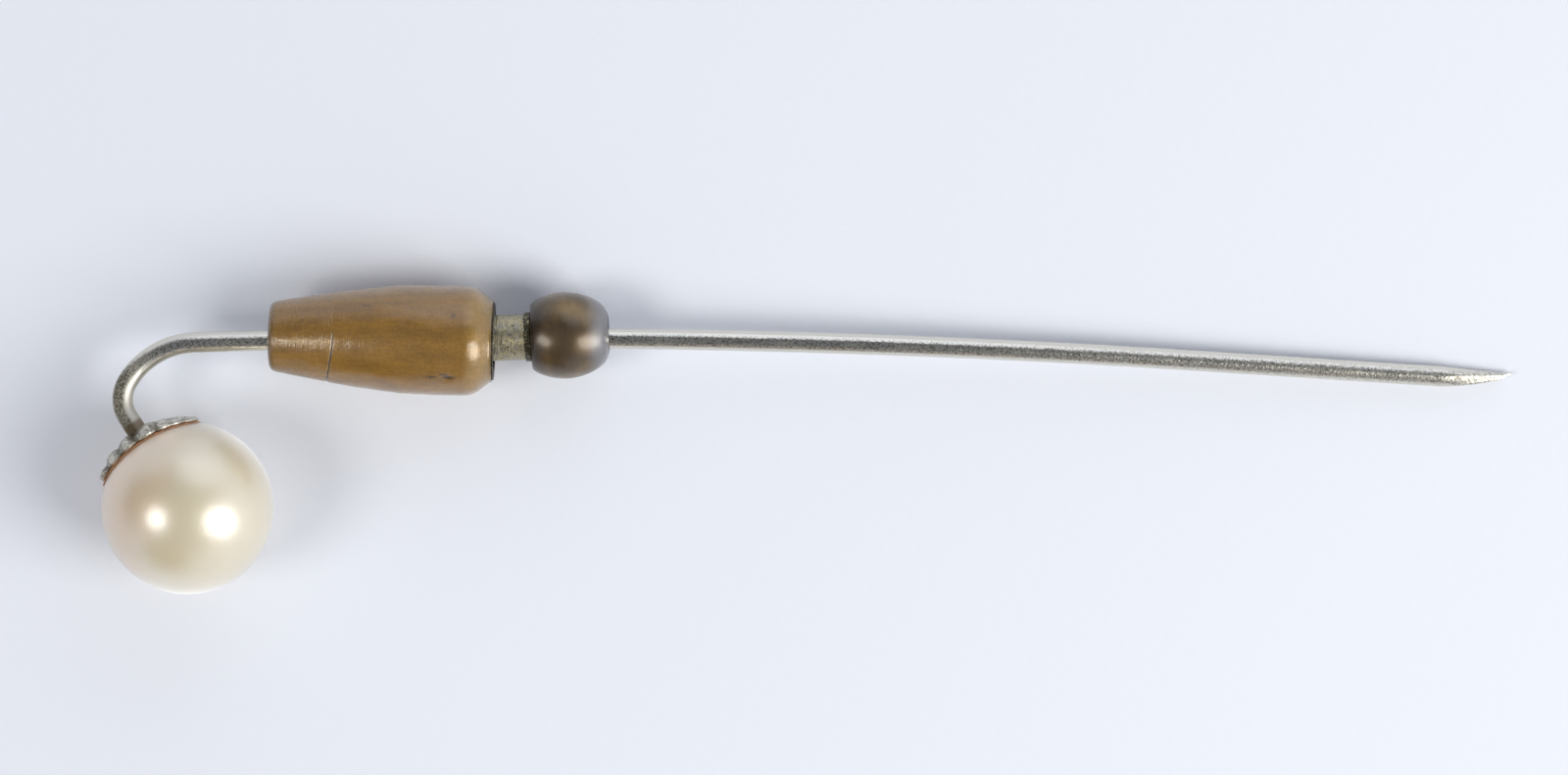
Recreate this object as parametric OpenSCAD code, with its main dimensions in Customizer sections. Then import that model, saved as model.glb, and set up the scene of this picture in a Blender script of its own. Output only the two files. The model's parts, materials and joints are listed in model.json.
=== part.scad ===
// Stick pin: a hooked wire with a pearl at its head, and a spring guard that grips the shank.
// Lengths are millimetres and angles are degrees. The wire is drawn in one flat plane, with the pearl's
// centre at 0, 0 and the shank running towards +X. The whole pin is then laid on the surface z = 0,
// where the pearl, the guard's barrel and the start of the point touch it.

/* [Pearl] */
// Diameter of the pearl
pearl_d = 8; // [7:0.5:9]
// Depth of the hole that is drilled for the wire
drill_depth = 4; // [2:0.25:5]

/* [Cap] */
// Reach of the cap along the hook, as an angle at the pearl's centre
cap_long = 41; // [30:1:50]
// Reach of the cap across the hook, as an angle at the pearl's centre
cap_short = 21; // [14:1:26]
// Thickness of the cap in the grooves between its lobes
cap_thick = 0.14; // [0.1:0.02:0.3]
// Height of a lobe over the grooves
lobe_rise = 0.2; // [0.1:0.02:0.4]
// Spacing of the lobes, as an angle at the pearl's centre
lobe_pitch = 13; // [8:1:16]
// Depth of the grooves on the long lobe, as a share of the others'
long_lobe_groove = 0.35; // [0:0.05:1]
// Thickness of the gilded lining under the cap
lining_thick = 0.1; // [0.08:0.01:0.2]
// Width of the lining that shows past the cap, as an angle
lining_show = 1.6; // [0.5:0.1:3]

/* [Wire] */
// Diameter of the wire
wire_d = 0.95; // [0.8:0.05:1]
// Direction in which the wire leaves the pearl, from +X
leave_heading = 123.4; // [110:0.1:130]
// Straight wire between the pearl and the first bend
lead = 1.02; // [0.8:0.02:2]
// Radius of the tight bend at the top of the hook
tight_r = 1.6; // [1.2:0.1:2.4]
// Turn of the tight bend
tight_turn = 65.5; // [50:0.5:75]
// Radius of the wide bend that leads into the shank
wide_r = 3.82; // [3:0.02:6]
// Turn of the wide bend
wide_turn = 56.2; // [45:0.1:60]
// Radius of the shank's slight bow
bow_r = 500; // [300:10:900]
// Length of the bowed stretch of the shank
bow_len = 46; // [30:1:60]
// Length of the straight stretch after the bow
straight_len = 11.6; // [8:0.1:16]
// Length of the point
point_len = 3.6; // [2:0.1:6]
// Diameter of the point's rounded end
point_d = 0.16; // [0.1:0.02:0.3]

/* [Guard barrel] */
// Overall length of the barrel
barrel_len = 10.37; // [9.5:0.01:12]
// Largest diameter of the barrel
barrel_d = 5.1; // [4.8:0.1:6]
// Diameter where the flank starts, behind the narrow face's round corner
flank_d = 3.26; // [3:0.02:3.6]
// Length from the narrow face to the full diameter
flank_len = 6.1; // [4:0.1:7]
// Diameter at the mouth
mouth_d = 3.86; // [3.7:0.02:4.2]
// Wall thickness of the barrel
wall = 0.35; // [0.25:0.05:0.45]
// Diameter of the holes that the wire runs through
bore_d = 1.5; // [1.4:0.05:1.5]

/* [Guard plunger] */
// Diameter of the neck
neck_d = 2.12; // [2.1:0.02:2.2]
// Length of the neck that shows between the mouth and the knob
neck_show = 1.82; // [1.4:0.02:2.4]
// Diameter of the knob
knob_d = 4.03; // [3.6:0.01:4.6]
// Length of the knob
knob_len = 3.6; // [3.2:0.1:4]
// Travel of the plunger when the knob is pulled
pull = 0.9; // [0.4:0.1:1]

/* [How the guard sits] */
// Distance along the bow from its start to the barrel's narrow face
guard_at = 3.48; // [3:0.02:20]
// Height of the barrel's axis over the wire's at the narrow face
barrel_lift = 0.2; // [0:0.01:0.22]
// Heading of the loose barrel
barrel_heading = -1.4; // [-1.6:0.1:0]
// Heading of the loose plunger
plunger_heading = 2.3; // [0:0.1:2.4]
// Height of the plunger's axis over the barrel's at the mouth
plunger_lift = 0.15; // [0:0.01:0.16]

/* [Hidden] */

silver = "#c9c9c2";
nickel = "#aaa58c";
brass = "#8d6a37";
bronze = "#64503f";
gilt = "#c98d4a";
cream = "#e6dccb";

// Sides of the wire and its holes, and of the larger round pieces.
wire_sides = 48;
round_sides = 96;

gap = 0.03;
past = 1;
pearl_r = pearl_d / 2;
wire_r = wire_d / 2;
point_r = point_d / 2;
bore_r = bore_d / 2;

// The stations of the wire's centreline, each [x, y, heading].
bow_turn = bow_len / bow_r * 180 / PI;
at_pearl = [0, 0, leave_heading];
at_tight = ahead(at_pearl, pearl_r + lead);
at_wide = turned(at_tight, tight_r, tight_turn);
at_bow = turned(at_wide, wide_r, wide_turn);
at_straight = turned(at_bow, bow_r, bow_turn);
at_point = ahead(at_straight, straight_len);
at_tip = ahead(at_point, point_len);

// The peg stops short of the drilled hole's bottom. The laps fuse two stretches of wire that meet.
peg_gap = 0.15;
peg_start = pearl_r - drill_depth + peg_gap;
lap_len = 0.2;
lap_rise = 0.006;
bend_steps = 16;
bow_steps = 24;
ogive_r = (pow(point_len, 2) + pow(wire_r - point_r, 2)) / (2 * (wire_r - point_r));

// The lobes are counted along the hook, and the long lobe starts on the crest two lobes past the middle.
lobe_phase = 0.69;
long_lobe = lobe_pitch * (lobe_phase - 2);
scallop = 0.07;
edge_round = 0.6;
cap_rays = 96;
cap_rings = 15;
lining_rays = 72;
lining_rings = 6;

// The barrel's outline, along its axis from the narrow face, and its inside.
barrel_r = barrel_d / 2;
corner_r = 0.35;
flank_bulge = 0.08;
shoulder_angle = 38.5;
shoulder_round = 0.45;
mouth_r = mouth_d / 2;
mouth_lip = 0.09;
shoulder_end = barrel_len - mouth_lip;
shoulder_start = shoulder_end - (barrel_r - mouth_r) / tan(shoulder_angle);
full_end = shoulder_start - shoulder_round * tan(shoulder_angle / 2);
face_wall = 0.5;
seat_r = mouth_r - mouth_lip;
seat_len = 0.6;
shoulder_wall = 0.4;
corner_steps = 5;
flank_steps = 8;

// The ring in the mouth and the plunger that it holds in.
ring_thick = 0.55;
ring_proud = 0.12;
ring_hole_r = 1.32;
neck_r = neck_d / 2;
neck_sunk = 0.8;
collar_len = 0.3;
collar_r = neck_r + 0.08;
flange_thick = 0.4;
flange_r = 1.6;
flange_gap = 0.1;
flange_end = ring_proud - ring_thick - pull - flange_gap;
neck_start = flange_end - flange_thick;

// The knob is an egg whose widest station lies knob_face behind its flat back.
knob_r = knob_d / 2;
knob_half = 2.42;
knob_face = 1.55;
knob_end = knob_len - knob_face;
knob_round = 0.2;
knob_back_angle = -20;
knob_front_angle = 40;
knob_steps = 16;

// Frames of the two loose pieces of the guard: the barrel's narrow face and the plunger at the mouth.
at_guard = turned(at_bow, bow_r, guard_at / bow_r * 180 / PI);
at_barrel = [at_guard.x, at_guard.y + barrel_lift, barrel_heading];
at_mouth = ahead(at_barrel, barrel_len);
at_plunger = [at_mouth.x, at_mouth.y + plunger_lift, plunger_heading];
at_knob = ahead(at_plunger, neck_show + knob_face);

// The plane of the wire is tilted so that its height over the surface suits the three places that touch.
touch_barrel = ahead(at_barrel, full_end);
drop_barrel = barrel_r - pearl_r;
drop_point = wire_r - pearl_r;
span = touch_barrel.x * at_point.y - touch_barrel.y * at_point.x;
slope_x = (drop_barrel * at_point.y - drop_point * touch_barrel.y) / span;
slope_y = (drop_point * touch_barrel.x - drop_barrel * at_point.x) / span;
pitch = -asin(slope_x);
roll = asin(slope_y / cos(pitch));
full_start = ahead(at_barrel, flank_len);
mid_x = (at_tip.x * cos(pitch) + at_tip.y * sin(pitch) * sin(roll) - pearl_r) / 2;
mid_y = (full_start.y * cos(roll) + barrel_r - pearl_r) / 2;

// A place d further on along a straight line.
function ahead(s, d) = [s.x + d * cos(s.z), s.y + d * sin(s.z), s.z];

// A place after a clockwise bend of the given radius and turn.
function turned(s, r, turn) = [
    s.x + r * (sin(s.z) - sin(s.z - turn)),
    s.y - r * (cos(s.z) - cos(s.z - turn)),
    s.z - turn
];

// Points [radius, height] of an arc through two ends that bulges outwards by b, for a turned outline.
function bulged(p, q, b, n) =
    let (d = q - p, side = [d.y, -d.x] / norm(d))
    [for (i = [0:n]) let (t = i / n) p + d * t + side * 4 * b * t * (1 - t)];

// Points of a round corner about c, from angle a to angle b, in the same form.
function corner(c, r, a, b) =
    [for (i = [0:corner_steps]) let (t = a + (b - a) * i / corner_steps) c + r * [cos(t), sin(t)]];

module at(s) {
    translate([s.x, s.y, 0]) rotate([0, 0, s.z]) children();
}

// Stands a solid of revolution along +X.
module along_x() {
    rotate([0, 90, 0]) children();
}

// Lays the flat drawing on the surface, with the middle of the whole pin's footprint at the origin.
module laid() {
    translate([-mid_x, -mid_y, pearl_r]) rotate([roll, pitch, 0]) children();
}

module rod(length) {
    along_x() cylinder(r = wire_r, h = length, $fn = wire_sides);
}

// A clockwise bend that starts at the origin along +X.
module bend(r, turn, steps) {
    translate([0, -r, 0])
        rotate([0, 0, 90 - turn])
            rotate_extrude(angle = turn, $fn = steps * 360 / turn)
                translate([r, 0]) circle(r = wire_r, $fn = wire_sides);
}

// The straight end of the shank and its point: a tangent ogive that ends in a small ball.
module straight_end() {
    along_x() {
        rotate_extrude($fn = wire_sides) {
            square([wire_r, straight_len]);
            translate([0, straight_len])
                intersection() {
                    translate([wire_r - ogive_r, 0]) circle(r = ogive_r, $fn = 256);
                    square([wire_r, point_len]);
                }
        }
        translate([0, 0, straight_len + point_len]) sphere(r = point_r, $fn = wire_sides);
    }
}

// A hair-thin sleeve that laps the two stretches of wire that meet at its middle, so that they fuse.
module lap() {
    along_x() translate([0, 0, -lap_len / 2]) cylinder(r = wire_r + lap_rise, h = lap_len, $fn = wire_sides);
}

module pin_wire() {
    color(silver) laid() {
        at(ahead(at_pearl, peg_start)) rod(pearl_r + lead - peg_start);
        at(at_tight) bend(tight_r, tight_turn, bend_steps);
        at(at_wide) bend(wide_r, wide_turn, bend_steps);
        at(at_bow) bend(bow_r, bow_turn, bow_steps);
        at(at_straight) straight_end();
        for (joint = [at_tight, at_wide, at_bow, at_straight]) at(joint) lap();
    }
}

module pearl() {
    color(cream) laid()
        difference() {
            sphere(r = pearl_r, $fn = round_sides);
            at(ahead(at_pearl, pearl_r - drill_depth)) along_x()
                cylinder(r = wire_r + gap, h = drill_depth + past, $fn = wire_sides);
        }
}

// Height of the lobes, 0 in a groove and 1 on a crest, at the angle u along the hook. The side towards
// the guard is one long lobe with shallow grooves.
function lobe(u) =
    let (hump = pow(cos(180 * (u / lobe_pitch - lobe_phase)), 2))
    u > long_lobe ? hump : 1 - long_lobe_groove * (1 - hump);

// Reach of the cap's oval in the direction a, counted from the hook's plane.
function oval(a) = 1 / sqrt(pow(cos(a) / cap_long, 2) + pow(sin(a) / cap_short, 2));

// The same with the lobes' scallops.
function cap_edge(a) = oval(a) * (1 - scallop * (1 - lobe(oval(a) * cos(a))));

// Thickness of the cap in direction a, at the share t of its reach: rounded off towards the edge.
function cap_height(a, t) =
    (cap_thick + lobe_rise * lobe(t * cap_edge(a) * cos(a))) * sqrt(1 - edge_round * pow(t, 4));

// A shell that hugs the pearl about the wire. Its outline turns round a closed loop of layers: out
// along the underside, and back over the top.
module hugging_shell(inner, reach, heights, rays, rings) {
    hole = wire_r + gap;
    outward = [for (i = [0:rings]) [i, 0]];
    back = [for (i = [rings:-1:0]) [i, 1]];
    loop = concat(outward, back);
    n = len(loop);
    points = [
        for (k = [0:rays - 1], p = loop)
            let (
                a = 360 * k / rays,
                r = inner + p[1] * heights[k][p[0]],
                start = asin(hole / r),
                b = start + p[0] / rings * (reach[k] - start)
            )
            r * [sin(b) * sin(a), sin(b) * cos(a), cos(b)]
    ];
    faces = [
        for (k = [0:rays - 1], i = [0:n - 1])
            let (j = (i + 1) % n, m = (k + 1) % rays)
            for (f = [[k * n + i, k * n + j, m * n + j], [k * n + i, m * n + j, m * n + i]]) f
    ];
    at([0, 0, leave_heading]) along_x() polyhedron(points, faces);
}

module pearl_cap() {
    turn = 360 / cap_rays;
    reach = [for (k = [0:cap_rays - 1]) cap_edge(k * turn)];
    heights = [for (k = [0:cap_rays - 1]) [for (i = [0:cap_rings]) cap_height(k * turn, i / cap_rings)]];
    inner = pearl_r + 2 * gap + lining_thick;
    color(silver) laid() hugging_shell(inner, reach, heights, cap_rays, cap_rings);
}

module cap_lining() {
    turn = 360 / lining_rays;
    reach = [for (k = [0:lining_rays - 1]) oval(k * turn) + lining_show];
    heights = [for (k = [0:lining_rays - 1]) [for (i = [0:lining_rings]) lining_thick]];
    color(gilt) laid() hugging_shell(pearl_r + gap, reach, heights, lining_rays, lining_rings);
}

// The barrel is a spun shell, open at the mouth, with a hole for the wire in its narrow face.
module guard_barrel() {
    outside = concat(
        corner([flank_d / 2 - corner_r, corner_r], corner_r, -90, 0),
        bulged([flank_d / 2, corner_r], [barrel_r, flank_len], flank_bulge, flank_steps),
        corner([barrel_r - shoulder_round, full_end], shoulder_round, 0, 90 - shoulder_angle),
        [[mouth_r, shoulder_end], [mouth_r, barrel_len]]
    );
    inside = [
        [seat_r, barrel_len],
        [seat_r, shoulder_end - seat_len],
        [barrel_r - wall, full_end - shoulder_wall],
        [barrel_r - wall, flank_len],
        [flank_d / 2 - wall, face_wall],
        [bore_r, face_wall],
        [bore_r, 0]
    ];
    color(brass) laid() at(at_barrel) along_x()
        rotate_extrude($fn = round_sides) polygon(concat(outside, inside));
}

module mouth_ring() {
    color(silver) laid() at(at_mouth) along_x()
        translate([0, 0, ring_proud - ring_thick])
            difference() {
                cylinder(r = seat_r - gap, h = ring_thick, $fn = round_sides);
                translate([0, 0, -past])
                    cylinder(r = ring_hole_r, h = ring_thick + 2 * past, $fn = round_sides);
            }
}

// The neck is a tube. Its flange stays behind the mouth ring, and its other end goes into the knob.
module guard_neck() {
    neck_len = neck_show + neck_sunk - neck_start;
    color(nickel) laid() at(at_plunger) along_x()
        difference() {
            union() {
                translate([0, 0, neck_start]) cylinder(r = flange_r, h = flange_thick, $fn = round_sides);
                translate([0, 0, neck_start]) cylinder(r = neck_r, h = neck_len, $fn = round_sides);
                translate([0, 0, neck_show - collar_len])
                    cylinder(r = collar_r, h = collar_len - gap, $fn = round_sides);
            }
            translate([0, 0, neck_start - past])
                cylinder(r = bore_r, h = neck_len + 2 * past, $fn = wire_sides);
        }
}

// Radius of the knob at the distance x from its widest station.
function knob_at(x) = knob_r * sqrt(1 - pow(x / knob_half, 2));

module guard_knob() {
    first = knob_round - knob_face;
    last = knob_end - knob_round;
    step = (last - first) / knob_steps;
    socket_r = neck_r + gap;
    socket_end = neck_sunk + gap - knob_face;
    outline = concat(
        corner([knob_at(first) - knob_round, first], knob_round, -90, knob_back_angle),
        [for (i = [0:knob_steps]) let (x = first + step * i) [knob_at(x), x]],
        corner([knob_at(last) - knob_round, last], knob_round, knob_front_angle, 90)
    );
    socket = [[bore_r, knob_end], [bore_r, socket_end], [socket_r, socket_end], [socket_r, -knob_face]];
    color(bronze) laid() at(at_knob) along_x()
        rotate_extrude($fn = round_sides) polygon(concat(outline, socket));
}

pin_wire();
pearl();
pearl_cap();
cap_lining();
guard_barrel();
mouth_ring();
guard_neck();
guard_knob();
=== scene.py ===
"""The looks of a stick pin: a hooked wire with a pearl at its head and a spring guard pushed up the shank.

Lengths are millimetres until a mesh is made, and metres after that. Every piece is first worked out in the
flat plane that the wire was bent in: the pearl's centre is the origin, the shank runs towards +X, +Y is the
side of the hook, and +Z points away from the surface that the pin lies on.
"""

import json
import logging
from collections.abc import Callable
from dataclasses import dataclass, field
from enum import Enum

import bpy
import numpy as np
from bpy.types import Material, Node, NodeSocket, NodeTree, Object
from mathutils import Matrix, Vector


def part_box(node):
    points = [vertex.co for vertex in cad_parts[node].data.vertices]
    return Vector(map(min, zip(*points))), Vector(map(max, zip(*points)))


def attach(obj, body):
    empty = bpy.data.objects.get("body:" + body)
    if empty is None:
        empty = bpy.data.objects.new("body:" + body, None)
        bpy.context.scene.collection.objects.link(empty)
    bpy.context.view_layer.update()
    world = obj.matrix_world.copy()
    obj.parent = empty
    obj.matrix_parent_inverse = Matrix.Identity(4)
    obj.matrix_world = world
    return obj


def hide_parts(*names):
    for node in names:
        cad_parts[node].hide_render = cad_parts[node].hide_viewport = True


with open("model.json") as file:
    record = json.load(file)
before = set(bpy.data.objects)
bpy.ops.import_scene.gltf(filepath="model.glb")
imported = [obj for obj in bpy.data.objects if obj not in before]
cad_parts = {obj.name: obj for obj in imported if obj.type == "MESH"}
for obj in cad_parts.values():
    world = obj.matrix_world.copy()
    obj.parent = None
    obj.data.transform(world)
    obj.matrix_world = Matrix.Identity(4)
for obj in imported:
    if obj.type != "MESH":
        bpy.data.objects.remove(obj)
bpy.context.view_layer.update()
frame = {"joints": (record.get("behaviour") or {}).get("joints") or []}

log = logging.getLogger("stick_pin")
Pair = tuple[float, float]
Triple = tuple[float, float, float]
Swell = Callable[[np.ndarray], np.ndarray]
MM = 0.001
OWN = "own_mm"

# The photograph's frame, and what one of its pixels measures in the plane of the wire.
IMAGE_PX = (1600, 791)
MM_PER_PX = 0.0456
PEARL_PX = (191.5, 518.4)

# Sockets of the colour Mix node, whose names repeat.
MIX_SHARE, MIX_A, MIX_B = 0, 6, 7
# Settings of a Mix node of colours, and of a Map Range node that eases its ends.
COLOURS = {"data_type": "RGBA"}
SMOOTH = {"interpolation_type": "SMOOTHSTEP"}


class Body(Enum):
    """The three bodies that move on their own."""

    PIN = "pin"
    GUARD = "guard"
    PLUNGER = "plunger"


class Layer(Enum):
    """The two shells on the pearl."""

    CAP = "cap"
    LINING = "lining"


def linear(hex_code: str) -> tuple[float, float, float, float]:
    """Turns an sRGB hex colour to linear light.

    Args:
        hex_code: the colour, such as "#c8b890".

    Returns:
        Red, green and blue in linear light, and an alpha of 1.
    """
    srgb = np.array([int(hex_code[i : i + 2], 16) for i in (1, 3, 5)]) / 255
    light = np.where(srgb <= 0.04045, srgb / 12.92, ((srgb + 0.055) / 1.055) ** 2.4)
    return (*(float(v) for v in light), 1.0)


def fill(node: Node, inputs: dict | tuple) -> None:
    """Links or sets a node's input sockets.

    Args:
        node: the node.
        inputs: a row for the first sockets in order, or values by a socket's name or number. A node stands
            for its first live output, and a hex code for its colour.
    """
    for key, value in inputs.items() if isinstance(inputs, dict) else enumerate(inputs):
        if isinstance(value, Node):
            value = next(output for output in value.outputs if output.enabled)
        if isinstance(value, NodeSocket):
            node.id_data.links.new(value, node.inputs[key])
        else:
            node.inputs[key].default_value = linear(value) if isinstance(value, str) else value


def add(tree: NodeTree, kind: str, inputs: dict | tuple = (), **settings: object) -> Node:
    """Adds a node with its settings and links.

    Args:
        tree: the tree that gets the node.
        kind: Blender's name of the node type, after "ShaderNode".
        inputs: what fills its input sockets.
        **settings: properties of the node.

    Returns:
        The new node.
    """
    node = tree.nodes.new("ShaderNode" + kind)
    for key, value in settings.items():
        setattr(node, key, value)
    fill(node, inputs)
    return node


@dataclass(frozen=True)
class Relief:
    """How a bump shows: its strength, and its depth in millimetres."""

    strength: float
    depth: float

    def of(self, height: Node) -> dict:
        """The sockets that give a height this strength and depth."""
        return {"Strength": self.strength, "Distance": self.depth * MM, "Height": height}


def unevenness(points: np.ndarray, size: float, seed: int, waves: int = 20) -> np.ndarray:
    """A smooth random field: plane cosine waves in random directions, over the root of their number.

    Args:
        points: places in millimetres, in rows of three.
        size: the waves' mean length in millimetres.
        seed: the seed of the random draws.
        waves: how many waves are added.

    Returns:
        One value for each place, seldom past -1.5 or 1.5.
    """
    rng = np.random.default_rng(seed)
    directions = rng.normal(size=(waves, 3))
    directions /= np.linalg.norm(directions, axis=1, keepdims=True)
    lengths = size * rng.uniform(0.6, 1.6, waves)
    phases = rng.uniform(0, 2 * np.pi, waves)
    turns = points @ (2 * np.pi * directions / lengths[:, None]).T + phases
    return np.cos(turns).sum(-1) / np.sqrt(waves)


def step(x: np.ndarray, start: float, end: float) -> np.ndarray:
    """A smooth step, 3 t squared less 2 t cubed, that rises from 0 at start to 1 at end."""
    t = np.clip((x - start) / (end - start), 0, 1)
    return t * t * (3 - 2 * t)


def eased_loop(corners: list[Triple], corner_steps: int = 24) -> np.ndarray:
    """Rounds the corners of a closed outline: each becomes a parabola that touches both sides.

    Args:
        corners: rows of radius, place along the axis, and how far from the corner the parabola starts.
        corner_steps: steps along each parabola.

    Returns:
        The outline's points, in rows of radius and place.
    """
    points = np.array([c[:2] for c in corners], float)
    before, after = np.roll(points, 1, 0) - points, np.roll(points, -1, 0) - points
    reach = np.array([c[2] for c in corners])[:, None]
    start = points + before / np.linalg.norm(before, axis=1, keepdims=True) * reach
    end = points + after / np.linalg.norm(after, axis=1, keepdims=True) * reach
    t = np.linspace(0, 1, corner_steps + 1)[:, None]
    curves = []
    for first, corner, last, length in zip(start, points, end, reach[:, 0]):
        curve = (1 - t) ** 2 * first + 2 * t * (1 - t) * corner + t**2 * last
        curves.append(curve if length else corner[None])
    return np.concatenate(curves)


def divided(outline: np.ndarray, spacing: float, fine: Pair = (0, 0), finer: int = 6) -> np.ndarray:
    """Cuts a closed outline's sides into equal steps.

    Args:
        outline: points in rows of radius and place along the axis.
        spacing: the longest step.
        fine: the range of places where the steps are shorter.
        finer: how many times shorter.

    Returns:
        The outline with its new points.
    """
    sides = np.roll(outline, -1, 0) - outline
    middle = outline[:, 1] + sides[:, 1] / 2
    longest = np.where((middle > fine[0]) & (middle < fine[1]), spacing / finer, spacing)
    cuts = np.maximum(1, np.ceil(np.linalg.norm(sides, axis=1) / longest)).astype(int)
    side = np.repeat(np.arange(len(outline)), cuts)
    share = (np.arange(cuts.sum()) - np.repeat(np.cumsum(cuts) - cuts, cuts)) / cuts[side]
    return outline[side] + sides[side] * share[:, None]


@dataclass(frozen=True)
class WirePlane:
    """The plane of the wire as the pin lies: its origin in millimetres, and its axes as a turn."""

    origin: np.ndarray
    turn: np.ndarray

    @classmethod
    def from_frame(cls) -> "WirePlane":
        """Reads the plane from the frame: the guard slides about its normal, and the pearl is its origin.

        Returns:
            The plane.
        """
        slide = next(j for j in frame["joints"] if j["name"] == "guard_slide")
        normal = -np.array(slide["axis"], float)
        normal /= np.linalg.norm(normal)
        low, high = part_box("pearl")
        # The shank's axis has no turn about the surface's normal, so it lies in the plane of X and Z.
        ahead = np.array([normal[2], 0, -normal[0]]) / np.hypot(normal[0], normal[2])
        turn = np.stack([ahead, np.cross(normal, ahead), normal], axis=1)
        return cls(np.array((low + high) / 2) / MM, turn)

    def lay(self, points: np.ndarray) -> np.ndarray:
        """Takes places in the plane, in millimetres, to the frame, in metres."""
        return (points @ self.turn.T + self.origin) * MM


@dataclass(frozen=True)
class Station:
    """A place on a line in the plane, and the line's heading in degrees from +X."""

    x: float
    y: float
    heading: float

    def ahead(self, distance: float) -> "Station":
        """The place a distance further on along a straight line."""
        a = np.radians(self.heading)
        return Station(self.x + distance * np.cos(a), self.y + distance * np.sin(a), self.heading)

    def turned(self, radius: float, turn: float) -> "Station":
        """Follows a clockwise bend: the place moves by the radius times the change of the heading's sine.

        Args:
            radius: the bend's radius.
            turn: how far it turns, in degrees.

        Returns:
            The place and heading after the bend.
        """
        a, b = np.radians(self.heading), np.radians(self.heading - turn)
        x = self.x + radius * (np.sin(a) - np.sin(b))
        y = self.y - radius * (np.cos(a) - np.cos(b))
        return Station(x, y, self.heading - turn)

    def grid(self, own: np.ndarray) -> np.ndarray:
        """Takes places to the plane: turned by the heading, and moved to the station.

        Args:
            own: places ahead of the station, to its left, and up.

        Returns:
            The same places in the plane.
        """
        a = np.radians(self.heading)
        x = self.x + own[..., 0] * np.cos(a) - own[..., 1] * np.sin(a)
        y = self.y + own[..., 0] * np.sin(a) + own[..., 1] * np.cos(a)
        return np.stack([x, y, own[..., 2]], axis=-1)


@dataclass(frozen=True)
class Route:
    """The wire's centreline: a straight lead from the pearl's centre, two bends, a bow, a straight end."""

    leave: float = 123.4
    lead: float = 5.02
    tight_radius: float = 1.6
    tight_turn: float = 65.5
    wide_radius: float = 3.82
    wide_turn: float = 56.2
    bow_radius: float = 500.0
    bow_length: float = 46.0
    straight_length: float = 11.6
    point_length: float = 3.6
    fine_step: float = 0.01

    def bow_start(self) -> Station:
        """Where the two bends of the hook end and the bow of the shank starts."""
        tight = Station(0, 0, self.leave).ahead(self.lead)
        return tight.turned(self.tight_radius, self.tight_turn).turned(self.wide_radius, self.wide_turn)

    def on_bow(self, distance: float) -> Station:
        """The place on the bow a distance from its start."""
        return self.bow_start().turned(self.bow_radius, float(np.degrees(distance / self.bow_radius)))

    def ends(self) -> np.ndarray:
        """Measures the wire, where a bend is as long as its radius times its turn.

        Returns:
            Distances from the pearl's centre to the end of each stretch, the last of which is the tip.
        """
        tight = self.tight_radius * np.radians(self.tight_turn)
        wide = self.wide_radius * np.radians(self.wide_turn)
        return np.cumsum([self.lead, tight, wide, self.bow_length, self.straight_length, self.point_length])

    def follow(self, distances: np.ndarray) -> tuple[np.ndarray, np.ndarray]:
        """Follows the wire from the pearl's centre.

        The heading falls by the distance over the radius along each bend, and the place is the running
        sum of fine steps along the heading.

        Args:
            distances: distances along the wire, rising.

        Returns:
            The places in the plane, in rows of x and y, and the headings in radians.
        """
        fine = np.arange(0, self.ends()[-1] + 1, self.fine_step)
        stretch = np.searchsorted(self.ends()[:-1], fine + 1e-9)
        bends = np.array([0, 1 / self.tight_radius, 1 / self.wide_radius, 1 / self.bow_radius, 0, 0])
        bend = bends[stretch]
        steps = np.diff(fine, prepend=0)
        heading = np.radians(self.leave) - np.cumsum(bend * steps)
        middle = heading + bend * steps / 2
        x = np.interp(distances, fine, np.cumsum(np.cos(middle) * steps))
        y = np.interp(distances, fine, np.cumsum(np.sin(middle) * steps))
        return np.stack([x, y], axis=1), np.interp(distances, fine, heading)


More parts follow.
